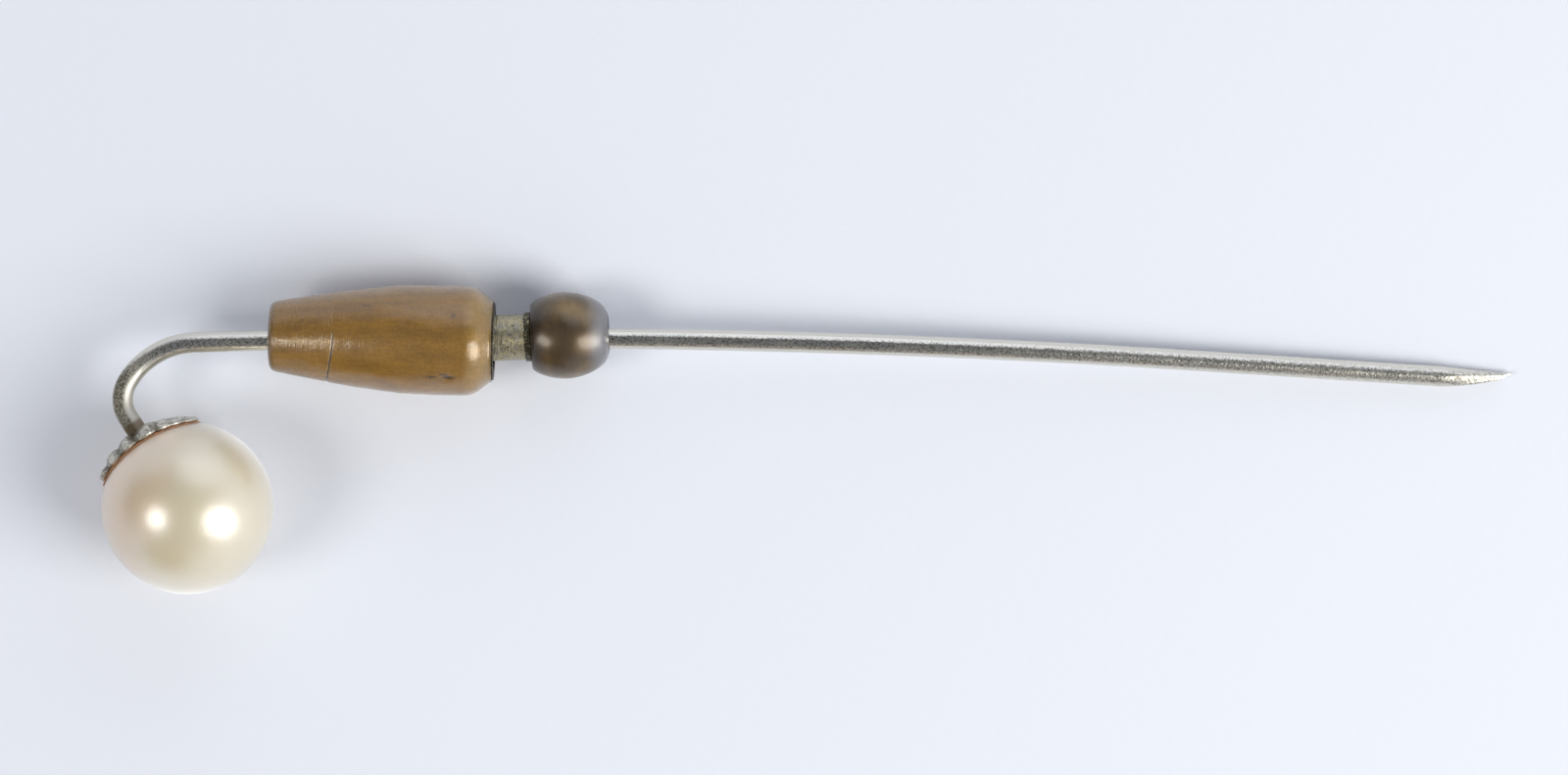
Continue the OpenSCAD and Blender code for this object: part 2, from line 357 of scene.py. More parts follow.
@dataclass(frozen=True)
class Workshop:
    """What every sub-assembly needs to place its pieces."""

    plane: WirePlane
    route: Route

    def piece(
        self, name: str, grid: np.ndarray, own: np.ndarray, finish: "Finish",
        body: Body, node: str, slot: str, looped: bool = False,
    ) -> Object:
        """Makes a piece of a grid of places, dresses it and hands it to the frame.

        The grid's columns close into rings. Its rows close into a loop too, as those of a tube's wall
        do, or else each end is closed by a fan about the end row's middle.

        Args:
            name: the piece's name.
            grid: places in the wire's plane, rows by columns by three.
            own: the places' own coordinates on the piece, in millimetres, that its finish is drawn in.
            finish: what the piece is made of.
            body: the body that the piece rides on.
            node: the solid that the piece stands for.
            slot: the record's slot for the finish. It is not used.
            looped: whether the rows close into a loop.

        Returns:
            The new object.
        """
        rows, columns = grid.shape[:2]
        index = np.arange(rows * columns).reshape(rows, columns)
        across = np.roll(index, -1, 1)
        last = rows if looped else rows - 1
        down, down_across = np.roll(index, -1, 0), np.roll(across, -1, 0)
        quads = np.stack([index, across, down_across, down], axis=-1)[:last].reshape(-1, 4)
        points, marks = grid.reshape(-1, 3), own.reshape(-1, 3)
        fans = np.zeros((0, 3), int)
        if not looped:
            points = np.concatenate([points, grid[[0, -1]].mean(1)])
            marks = np.concatenate([marks, own[[0, -1]].mean(1)])
            first_hub, last_hub = np.full(columns, rows * columns), np.full(columns, rows * columns + 1)
            first_fan = np.stack([first_hub, across[0], index[0]], axis=1)
            last_fan = np.stack([last_hub, index[-1], across[-1]], axis=1)
            fans = np.concatenate([first_fan, last_fan])
        corners = points[np.concatenate([quads[:, [0, 1, 2]], quads[:, [0, 2, 3]], fans])]
        volume = np.einsum("ij,ij->", corners[:, 0], np.cross(corners[:, 1], corners[:, 2]))
        if volume < 0:
            quads, fans = quads[:, ::-1], fans[:, ::-1]
        mesh = bpy.data.meshes.new(name)
        mesh.from_pydata(self.plane.lay(points).tolist(), [], quads.tolist() + fans.tolist())
        mesh.polygons.foreach_set("use_smooth", np.ones(len(mesh.polygons), bool))
        layer = mesh.attributes.new(OWN, "FLOAT_VECTOR", "POINT")
        layer.data.foreach_set("vector", marks.astype(np.float32).ravel())
        mesh.materials.append(finish.material())
        piece = bpy.data.objects.new(name, mesh)
        bpy.context.scene.collection.objects.link(piece)
        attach(piece, body.value)
        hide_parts(node)
        log.info("%s: %d faces, %s", name, len(mesh.polygons), finish.label)
        return piece


def spun(
    station: Station, profile: np.ndarray, sides: int, swell: Swell | None = None
) -> tuple[np.ndarray, np.ndarray]:
    """Turns an outline about an axis in the plane.

    A place is the station, plus its distance along the axis, plus its radius in the direction at the
    angle round the axis, which is counted from the heading's left side towards +Z.

    Args:
        station: where the axis starts, and its heading.
        profile: the outline, in rows of radius and place along the axis.
        sides: how many places a ring has.
        swell: a function of the own coordinates that gives what is added to the radius, if any.

    Returns:
        The grid of places in the plane, and the same places in the piece's own coordinates: along the
        axis, to its left, and up.
    """
    angle = np.linspace(0, 2 * np.pi, sides, endpoint=False)
    radius, along = np.repeat(profile[:, :1], sides, 1), np.repeat(profile[:, 1:], sides, 1)
    own = np.stack([along, radius * np.cos(angle), radius * np.sin(angle)], axis=-1)
    if swell is not None:
        radius = radius + swell(own)
        own = np.stack([along, radius * np.cos(angle), radius * np.sin(angle)], axis=-1)
    return station.grid(own), own


@dataclass(frozen=True)
class Finish:
    """A finish: the shader's constants, and a pattern that each kind of finish adds."""

    label: str
    colour: str
    metallic: float
    roughness: float

    def material(self) -> Material:
        """Builds the material: the constants on the shader, and then the pattern.

        Returns:
            The new material.
        """
        material = bpy.data.materials.new(self.label)
        material.use_nodes = True
        tree = material.node_tree
        tree.nodes.clear()
        sockets = {"Base Color": self.colour, "Metallic": self.metallic, "Roughness": self.roughness}
        shader = add(tree, "BsdfPrincipled", sockets | self.constants())
        add(tree, "OutputMaterial", {"Surface": shader})
        fill(shader, self.pattern(tree, self.place(tree)))
        return material

    def constants(self) -> dict:
        """Further constants of the shader, by socket."""
        return {}

    def place(self, tree: NodeTree) -> NodeSocket:
        """The coordinates that the pattern is drawn in: the piece's own, in millimetres."""
        return add(tree, "Attribute", attribute_name=OWN).outputs["Vector"]

    def pattern(self, tree: NodeTree, own: NodeSocket) -> dict:
        """Adds the finish's pattern.

        Args:
            tree: the material's tree.
            own: the coordinates that the pattern is drawn in.

        Returns:
            What fills the shader's sockets.
        """
        return {}


@dataclass(frozen=True)
class DrawnNickelSilver(Finish):
    """Nickel silver wire drawn through a die: a warm white metal with fine lines along it and worn grain."""

    label: str = "drawn_nickel_silver"
    colour: str = "#dcd8cd"
    metallic: float = 1.0
    roughness: float = 0.2
    polish: Pair = (0.14, 0.24)
    line_width: float = 0.05
    line_stretch: float = 0.04
    line_bump: Relief = Relief(0.12, 0.01)
    grain: float = 0.11
    patches_per_mm: float = 0.7
    patchy_from: Pair = (0.3, 0.75)
    spot_from: Pair = (0.46, 0.64)
    spot_share: float = 0.75
    dull_colour: str = "#6e6a5e"
    tarnish_colour: str = "#948268"
    tarnished: Pair = (4.6, 4.85)
    tarnish_share: float = 0.72
    tarnish_roughness: float = 0.3
    rubbed: Pair = (40.0, 62.0)
    rubbed_by: float = 0.09
    pitted_at: float = -0.06
    pitted_half: Pair = (0.34, 0.18)
    pitted_beside: float = 0.04
    pits_widen: float = -0.7
    pits_deepen: Pair = (2.2, 0.4)
    pit_bump: Relief = Relief(0.7, 0.05)
    leg: Pair = (9.4, 6.8)
    leg_pitted_by: float = 0.24
    leg_skin: float = 0.36
    leg_skin_roughness: float = 0.24
    foot: Pair = (7.9, 6.7)
    foot_dulled_by: float = 0.3

    def pattern(self, tree: NodeTree, own: NodeSocket) -> dict:
        """Draws the die's lines, the worn grain, and the tan tarnish by the cap.

        Args:
            tree: the material's tree.
            own: distance along the wire, and the place across it.

        Returns:
            What fills the shader's sockets.
        """
        # A die leaves lines a hundredth of a millimetre apart. They are drawn coarser, so that they show.
        stretched = add(tree, "VectorMath", (own, (self.line_stretch, 1, 1)), operation="MULTIPLY")
        lines = add(tree, "TexNoise", {"Vector": stretched, "Scale": 1 / self.line_width, "Detail": 2.0})
        noise = {"Vector": own, "Detail": 3.0}
        grain = add(tree, "TexNoise", noise | {"Scale": 1 / self.grain, "Roughness": 0.65})
        patches = add(tree, "TexNoise", noise | {"Scale": self.patches_per_mm})
        polish = add(tree, "MapRange", (patches, *self.patchy_from, *self.polish))
        along, across, _ = add(tree, "SeparateXYZ", (own,)).outputs
        tarnish = add(tree, "MapRange", (along, *self.tarnished, self.tarnish_share, 0.0), **SMOOTH)
        # The end that is pushed through cloth is rubbed dull.
        rubbed = add(tree, "MapRange", (along, *self.rubbed, 0.0, self.rubbed_by))
        # The short leg by the pearl is pitted on the outer side of the hook, and its foot is duller.
        leg = add(tree, "MapRange", (along, *self.leg), **SMOOTH)
        foot = add(tree, "MapRange", (along, *self.foot, 0.0, self.foot_dulled_by), **SMOOTH)
        foot_dulled = add(tree, "Math", (foot, polish), operation="ADD")
        dulled = add(tree, "Math", (foot_dulled, rubbed), operation="ADD")
        rough = add(tree, "Math", (tarnish, self.tarnish_roughness, dulled), operation="MULTIPLY_ADD")
        # The wire is pitted along one line, and it is worn most towards the point.
        line_at = add(tree, "Math", (leg, self.leg_pitted_by, self.pitted_at), operation="MULTIPLY_ADD")
        off_line = add(tree, "Math", (across, line_at), operation="SUBTRACT")
        beside = add(tree, "Math", (off_line,), operation="ABSOLUTE")
        widened = add(tree, "Math", (rubbed, self.pits_widen, beside), operation="MULTIPLY_ADD")
        worn_side = add(tree, "MapRange", (widened, *self.pitted_half, self.pitted_beside, 1.0))
        spots = add(tree, "MapRange", (grain, *self.spot_from, 0.0, self.spot_share))
        darkening = add(tree, "Math", (leg, worn_side), operation="MULTIPLY")
        skinned = add(tree, "Math", (darkening, self.leg_skin, spots), operation="MULTIPLY_ADD")
        dull = add(tree, "Math", (skinned, worn_side, foot), operation="MULTIPLY_ADD", use_clamp=True)
        rough = add(tree, "Math", (darkening, self.leg_skin_roughness, rough), operation="MULTIPLY_ADD")
        colour = self.colour
        for share, over in ((dull, self.dull_colour), (tarnish, self.tarnish_colour)):
            colour = add(tree, "Mix", {MIX_SHARE: share, MIX_A: colour, MIX_B: over}, **COLOURS)
        worn_end = add(tree, "Math", (rubbed, *self.pits_deepen), operation="MULTIPLY_ADD")
        depth = add(tree, "Math", (worn_side, worn_end), operation="MULTIPLY")
        pits = add(tree, "Math", (grain, depth), operation="MULTIPLY")
        lined = add(tree, "Bump", self.line_bump.of(lines))
        bump = add(tree, "Bump", self.pit_bump.of(pits) | {"Normal": lined})
        return {"Base Color": colour, "Roughness": rough, "Normal": bump}


@dataclass(frozen=True)
class Nacre(Finish):
    """Cream nacre: thin layers over a bead, which give a deep soft sheen with a rosy and a greenish tint."""

    label: str = "cream_nacre"
    colour: str = "#cebf9d"
    metallic: float = 0.0
    roughness: float = 0.48
    tint_share: float = 0.75
    rosy: str = "#e0b586"
    greenish: str = "#d3c59f"
    rosy_side: Triple = (-0.15, 0.03, 0.0)
    rosy_from: Pair = (0.45, 1.05)
    zone: float = 3.5
    swirls_per_mm: float = 2.2
    swirl_bump: Relief = Relief(0.15, 0.03)
    grain: float = 0.14
    grain_bump: Relief = Relief(0.12, 0.02)

    def constants(self) -> dict:
        """The layers scatter light below the surface, and the outermost reflects like a coat."""
        return {
            "IOR": 1.9, "Coat Weight": 1.0, "Coat Roughness": 0.3, "Coat IOR": 2.7,
            "Sheen Weight": 1.0, "Sheen Roughness": 0.5,
            "Subsurface Weight": 0.15, "Subsurface Radius": (1.0, 0.8, 0.6), "Subsurface Scale": 0.6 * MM,
        }

    def pattern(self, tree: NodeTree, own: NodeSocket) -> dict:
        """Draws broad tinted zones and the faint swirl of the growth lines.

        Args:
            tree: the material's tree.
            own: the place about the pearl's centre.

        Returns:
            What fills the shader's sockets.
        """
        zones = add(tree, "TexNoise", {"Vector": own, "Scale": 1 / self.zone, "Detail": 2.0})
        towards = add(tree, "VectorMath", (own, self.rosy_side), operation="DOT_PRODUCT")
        mixed = add(tree, "Math", (zones, towards), operation="ADD")
        share = add(tree, "MapRange", (mixed, *self.rosy_from), **SMOOTH)
        tint = add(tree, "Mix", {MIX_SHARE: share, MIX_A: self.greenish, MIX_B: self.rosy}, **COLOURS)
        tinted = {MIX_SHARE: self.tint_share, MIX_A: self.colour, MIX_B: tint}
        colour = add(tree, "Mix", tinted, **COLOURS)
        noise = {"Vector": own, "Scale": self.swirls_per_mm, "Detail": 4.0, "Distortion": 1.5}
        swirled = add(tree, "Bump", self.swirl_bump.of(add(tree, "TexNoise", noise)))
        grain = add(tree, "TexNoise", {"Vector": own, "Scale": 1 / self.grain, "Detail": 2.0})
        bump = add(tree, "Bump", self.grain_bump.of(grain) | {"Normal": swirled})
        return {"Base Color": colour, "Normal": bump, "Coat Normal": bump}


@dataclass(frozen=True)
class StruckSilver(Finish):
    """Struck silver: bright where it is rubbed, and dark in the hollows where tarnish stays."""

    label: str = "struck_silver"
    colour: str = "#dad6cb"
    metallic: float = 0.85
    roughness: float = 0.38
    tarnish: str = "#6e695a"
    grain: float = 0.2
    grain_bump: Relief = Relief(0.8, 0.03)
    relief_share: float = 0.38
    rubbed_from: Pair = (0.55, 1.02)

    def pattern(self, tree: NodeTree, own: NodeSocket) -> dict:
        """Darkens the hollows, whose relief is the third own coordinate, and pits the surface.

        Args:
            tree: the material's tree.
            own: the angles along and across the cap as lengths, and the relief from 0 to 1.

        Returns:
            What fills the shader's sockets.
        """
        relief = add(tree, "SeparateXYZ", (own,)).outputs["Z"]
        noise = {"Vector": own, "Scale": 1 / self.grain, "Detail": 3.0, "Roughness": 0.6}
        grain = add(tree, "TexNoise", noise)
        mixed = add(tree, "Math", (relief, self.relief_share, grain), operation="MULTIPLY_ADD")
        rubbed = add(tree, "MapRange", (mixed, *self.rubbed_from), **SMOOTH)
        colour = add(tree, "Mix", {MIX_SHARE: rubbed, MIX_A: self.tarnish, MIX_B: self.colour}, **COLOURS)
        return {"Base Color": colour, "Normal": add(tree, "Bump", self.grain_bump.of(grain))}


@dataclass(frozen=True)
class WornGilding(Finish):
    """Thin gilding rubbed to a copper red: warm, with brown spots."""

    label: str = "worn_gilding"
    colour: str = "#cc9468"
    metallic: float = 0.25
    roughness: float = 0.5
    spot: float = 0.25
    spot_from: Pair = (0.5, 0.7)
    spot_colour: str = "#94684a"

    def pattern(self, tree: NodeTree, own: NodeSocket) -> dict:
        """Spots the gilding with brown.

        Args:
            tree: the material's tree.
            own: the angles along and across the lining as lengths.

        Returns:
            What fills the shader's sockets.
        """
        spots = add(tree, "TexNoise", {"Vector": own, "Scale": 1 / self.spot, "Detail": 4.0})
        share = add(tree, "MapRange", (spots, *self.spot_from))
        spotted = {MIX_SHARE: share, MIX_A: self.colour, MIX_B: self.spot_colour}
        return {"Base Color": add(tree, "Mix", spotted, **COLOURS)}


@dataclass(frozen=True)
class Mark:
    """A dark mark in the lacquer: its place on the piece, its half-lengths, and how dark it is."""

    place: Triple
    half: Triple
    share: float


@dataclass(frozen=True)
class Crack:
    """The crack round the flank: it starts on top, and leans towards the narrow end as it goes down.

    Turns are radians from the top. The dark line and the cut each open over a turn of their own, and the
    mesh has finer steps within a range about the crack's place.
    """

    place: float = 3.06
    lean: float = 0.38
    width: float = 0.04
    depth: float = 0.035
    raggedness: float = 0.36
    turn_from: float = -0.2
    line_opens: float = 0.3
    cut_opens: float = 0.25
    fine: Pair = (-0.45, 0.2)
    lean_to: float = 1.66
    closes: Pair = (1.9, 2.4)


@dataclass(frozen=True)
class LacqueredBrass(Finish):
    """Spun brass under an old lacquer: a golden brown satin with soft streaks along it and dark marks."""

    label: str = "lacquered_brass"
    colour: str = "#946a18"
    metallic: float = 0.2
    roughness: float = 0.45
    streak: float = 0.5
    streak_stretch: float = 0.25
    streaked_from: Pair = (0.3, 0.75)
    deep: str = "#725113"
    speck: float = 0.12
    speckled_from: Pair = (0.32, 0.68)
    speckle: Pair = (0.84, 1.14)
    speck_bump: Relief = Relief(0.3, 0.03)
    rim: str = "#4e3a20"
    rims: tuple[Triple, ...] = ((0.0, 0.35, 0.75), (10.37, 9.87, 0.5))
    shoulder: Pair = (8.9, 9.6)
    shoulder_roughness: float = 0.355
    # Painted highlight colour on the shoulder, where the lamps' highlight falls.
    shoulder_highlight: str = "#a2832a"
    shoulder_highlight_share: float = 0.28
    scuff: Triple = (1 / 0.07, 1.5, 1.5)
    scuffed_to: Pair = (3.05, 2.95)
    scuffed: Pair = (0.15, 1.0)
    scuff_bump: Relief = Relief(0.6, 0.05)
    scratch: Triple = (1.4, 13.0, 13.0)
    # Painted highlight: a lighter streak along the top of the narrow end.
    highlight_streak: str = "#b4986a"
    highlight_streak_begins: Pair = (0.2, 0.6)
    highlight_streak_ends: Pair = (4.4, 2.6)
    highlight_streak_at: float = -0.22
    highlight_streak_half: float = 0.28
    highlight_streak_weight: float = 0.35
    highlight_streak_from: Pair = (0.64, 0.84)
    highlight_streak_share: float = 0.7
    crack: Crack = field(default_factory=Crack)
    crack_share: float = 0.9
    stain: str = "#30261a"
    mark_edge: Pair = (1.3, 0.8)
    marks: tuple[Mark, ...] = (
        Mark((8.4, -1.74, 1.86), (0.5, 0.15, 0.34), 0.9),
        Mark((8.2, -1.6, 1.94), (0.4, 0.07, 0.3), 0.75),
        Mark((7.7, -1.72, 1.88), (0.5, 0.08, 0.3), 0.65),
        Mark((4.6, 1.5, 1.82), (0.35, 0.12, 0.3), 0.45),
        Mark((1.6, 0.78, 1.77), (0.25, 0.12, 0.3), 0.4),
        Mark((8.65, 1.14, 2.28), (0.18, 0.2, 0.3), 0.45),
    )

    def constants(self) -> dict:
        """The lacquer is a clear coat that has lost a little of its gloss."""
        return {"Coat Weight": 1.0, "Coat Roughness": 0.19, "Coat IOR": 1.65}

    def pattern(self, tree: NodeTree, own: NodeSocket) -> dict:
        """Draws streaks in the colour, dark rims and marks, painted highlights on the top and the shoulder,
        fine specks, and the scuffs on the narrow end.

        Args:
            tree: the material's tree.
            own: the place along the barrel, to its left, and up.

        Returns:
            What fills the shader's sockets.
        """
        stretched = add(tree, "VectorMath", (own, (self.streak_stretch, 1, 1)), operation="MULTIPLY")
        noise = {"Vector": stretched, "Scale": 1 / self.streak, "Detail": 5.0, "Roughness": 0.65}
        streaks = add(tree, "TexNoise", noise)
        noise = {"Vector": own, "Scale": 1 / self.speck, "Detail": 3.0, "Roughness": 0.6}
        specks = add(tree, "TexNoise", noise)
        along, left, up = add(tree, "SeparateXYZ", (own,)).outputs
        layers = [(add(tree, "MapRange", (streaks, *self.streaked_from)), self.deep)]
        # Lacquer goes first from the two rims.
        for edge, inside, most in self.rims:
            layers.append((add(tree, "MapRange", (along, inside, edge, 0.0, most)), self.rim))
        # Painted highlight: the shoulder, where the lamps' highlight falls, is painted a brighter metal
        # colour. Its finish is smoother there too.
        shoulder_highlight = add(tree, "MapRange", (along, *self.shoulder, 0.0, self.shoulder_highlight_share), **SMOOTH)
        layers.append((shoulder_highlight, self.shoulder_highlight))
        for mark in self.marks:
            offset = add(tree, "VectorMath", (own, mark.place), operation="SUBTRACT")
            scaled = add(tree, "VectorMath", (offset, mark.half), operation="DIVIDE")
            away = add(tree, "VectorMath", (scaled,), operation="LENGTH")
            ragged = add(tree, "Math", (away, specks), operation="ADD")
            layers.append((add(tree, "MapRange", (ragged, *self.mark_edge, 0.0, mark.share)), self.stain))
        # Painted highlight: a lighter streak along the top of the narrow end.
        layers.append((self.painted_highlight_streak(tree, own, along, left), self.highlight_streak))
        layers.append((self.cracked(tree, (along, left, up), streaks), self.stain))
        colour = self.colour
        for share, over in layers:
            colour = add(tree, "Mix", {MIX_SHARE: share, MIX_A: colour, MIX_B: over}, **COLOURS)
        speckle = add(tree, "MapRange", (specks, *self.speckled_from, *self.speckle))
        speckled = add(tree, "VectorMath", {0: colour, "Scale": speckle}, operation="SCALE")
        finish = (self.roughness, self.shoulder_roughness)
        rough = add(tree, "MapRange", (along, *self.shoulder, *finish), **SMOOTH)
        # Scuffs run round the barrel, and so they spread a highlight along it. They are hair-fine, and
        # are drawn coarser, so that they show.
        across = add(tree, "VectorMath", (own, self.scuff), operation="MULTIPLY")
        scuffs = add(tree, "TexNoise", {"Vector": across, "Scale": 1.0, "Detail": 3.0})
        narrow_end = add(tree, "MapRange", (along, *self.scuffed_to, *self.scuffed))
        height = add(tree, "Math", (scuffs, narrow_end), operation="MULTIPLY")
        specked = add(tree, "Bump", self.speck_bump.of(specks))
        bump = add(tree, "Bump", self.scuff_bump.of(height) | {"Normal": specked})
        return {"Base Color": speckled, "Roughness": rough, "Normal": bump, "Coat Normal": bump}

    def painted_highlight_streak(self, tree: NodeTree, own: NodeSocket, along: NodeSocket, left: NodeSocket) -> Node:
        """Finds a painted highlight: a lighter streak along the top of the narrow end, broken up by fine
        scratches along the barrel.

        Args:
            tree: the material's tree.
            own: the place along the barrel, to its left, and up.
            along: the first of these.
            left: the second.

        Returns:
            The share of the painted highlight streak.
        """
        combed = add(tree, "VectorMath", (own, self.scratch), operation="MULTIPLY")
        scratches = add(tree, "TexNoise", {"Vector": combed, "Scale": 1.0, "Detail": 3.0})
        begun = add(tree, "MapRange", (along, *self.highlight_streak_begins))
        ended = add(tree, "MapRange", (along, *self.highlight_streak_ends))
        off_line = add(tree, "Math", (left, self.highlight_streak_at), operation="SUBTRACT")
        beside = add(tree, "Math", (off_line,), operation="ABSOLUTE")
        on_top = add(tree, "MapRange", (beside, self.highlight_streak_half, 0.0))
        length_share = add(tree, "Math", (begun, ended), operation="MULTIPLY")
        area = add(tree, "Math", (length_share, on_top), operation="MULTIPLY")
        scratched = add(tree, "Math", (area, self.highlight_streak_weight, scratches), operation="MULTIPLY_ADD")
        highlight_share = add(tree, "MapRange", (scratched, *self.highlight_streak_from, 0.0, self.highlight_streak_share))
        return add(tree, "Math", (highlight_share, area), operation="MULTIPLY")

    def cracked(self, tree: NodeTree, place: tuple[NodeSocket, ...], streaks: Node) -> Node:
        """Finds the crack, whose line leans towards the narrow end as it goes round.

        Args:
            tree: the material's tree.
            place: the place along the barrel, to its left, and up.
            streaks: the noise that makes the line ragged.

        Returns:
            The share of the crack's dark line.
        """
        crack, (along, left, up) = self.crack, place
        downward = add(tree, "Math", (left, -1.0), operation="MULTIPLY")
        turn = add(tree, "Math", (downward, up), operation="ARCTAN2")
        lean = add(tree, "MapRange", (turn, crack.turn_from, crack.lean_to, 0.0, crack.lean), **SMOOTH)
        level = add(tree, "Math", (along, lean), operation="ADD")
        ragged = add(tree, "Math", (streaks, crack.raggedness, level), operation="MULTIPLY_ADD")
        line = (crack.place + crack.raggedness / 2, crack.width)
        on_line = add(tree, "Math", (ragged, *line), operation="COMPARE")
        dark = add(tree, "Math", (on_line, self.crack_share), operation="MULTIPLY")
        opened = add(tree, "MapRange", (turn, crack.turn_from, crack.turn_from + crack.line_opens))
        return add(tree, "Math", (dark, opened), operation="MULTIPLY")


@dataclass(frozen=True)
class TurnedNickel(Finish):
    """Turned nickel silver gone dark in the mouth: it only glints on its edge."""

    label: str = "turned_nickel"
    colour: str = "#5c5546"
    metallic: float = 0.9
    roughness: float = 0.45
    soot: str = "#2c2821"
    soot_from: Pair = (0.4, 0.65)
    speck: float = 0.15
    rings_per_mm: float = 12.0
    ring_bump: Relief = Relief(0.4, 0.02)

    def pattern(self, tree: NodeTree, own: NodeSocket) -> dict:
        """Draws patches of soot and the fine rings that the turning left.

        Args:
            tree: the material's tree.
            own: the place along the ring's axis, to its left, and up.

        Returns:
            What fills the shader's sockets.
        """
        noise = {"Vector": own, "Scale": 1 / self.speck, "Detail": 3.0, "Roughness": 0.6}
        share = add(tree, "MapRange", (add(tree, "TexNoise", noise), *self.soot_from))
        colour = add(tree, "Mix", {MIX_SHARE: share, MIX_A: self.colour, MIX_B: self.soot}, **COLOURS)
        off_axis = add(tree, "VectorMath", (own, (0, 1, 1)), operation="MULTIPLY")
        radius = add(tree, "VectorMath", (off_axis,), operation="LENGTH")
        noise = {"W": radius, "Scale": self.rings_per_mm, "Detail": 2.0}
        rings = add(tree, "TexNoise", noise, noise_dimensions="1D")
        return {"Base Color": colour, "Normal": add(tree, "Bump", self.ring_bump.of(rings))}


@dataclass(frozen=True)
class TarnishedNickel(Finish):
    """Nickel silver that has gone dull: grey with yellow and green mottles, and dark pits."""

    label: str = "tarnished_nickel"
    colour: str = "#b6aa84"
    metallic: float = 0.85
    roughness: float = 0.38
    mottle: float = 0.22
    mottled_from: Pair = (0.35, 0.7)
    grey: str = "#94918a"
    pit: float = 0.14
    pit_from: Pair = (0.55, 0.68)
    pit_bump: Relief = Relief(0.5, 0.03)
    dark: str = "#4a4434"
    band: Pair = (1.45, 1.55)
    band_pits: float = 0.22
    lathe_lines: Triple = (1 / 0.08, 3.0, 3.0)
    lathe_bump: Relief = Relief(0.55, 0.05)

    def pattern(self, tree: NodeTree, own: NodeSocket) -> dict:
        """Draws the mottles, the pits and the dark band by the knob.

        Args:
            tree: the material's tree.
            own: the place along the neck, to its left, and up.

        Returns:
            What fills the shader's sockets.
        """
        noise = {"Vector": own, "Scale": 1 / self.mottle, "Detail": 4.0, "Roughness": 0.6}
        mottled = add(tree, "MapRange", (add(tree, "TexNoise", noise), *self.mottled_from))
        noise = {"Vector": own, "Scale": 1 / self.pit, "Detail": 3.0, "Roughness": 0.7}
        pits = add(tree, "TexNoise", noise)
        along = add(tree, "SeparateXYZ", (own,))
        band = add(tree, "MapRange", (along, *self.band, 0.0, self.band_pits), **SMOOTH)
        pitted = add(tree, "Math", (pits, band), operation="ADD")
        hole = add(tree, "MapRange", (pitted, *self.pit_from))
        colour = self.colour
        for share, over in ((mottled, self.grey), (hole, self.dark)):
            colour = add(tree, "Mix", {MIX_SHARE: share, MIX_A: colour, MIX_B: over}, **COLOURS)
        # The lathe's lines run round the neck, and so they draw a highlight out along it.
        turned = add(tree, "VectorMath", (own, self.lathe_lines), operation="MULTIPLY")
        lines = add(tree, "TexNoise", {"Vector": turned, "Scale": 1.0, "Detail": 2.0})
        lined = add(tree, "Bump", self.lathe_bump.of(lines))
        bump = add(tree, "Bump", self.pit_bump.of(pits) | {"Normal": lined}, invert=True)
        return {"Base Color": colour, "Normal": bump}


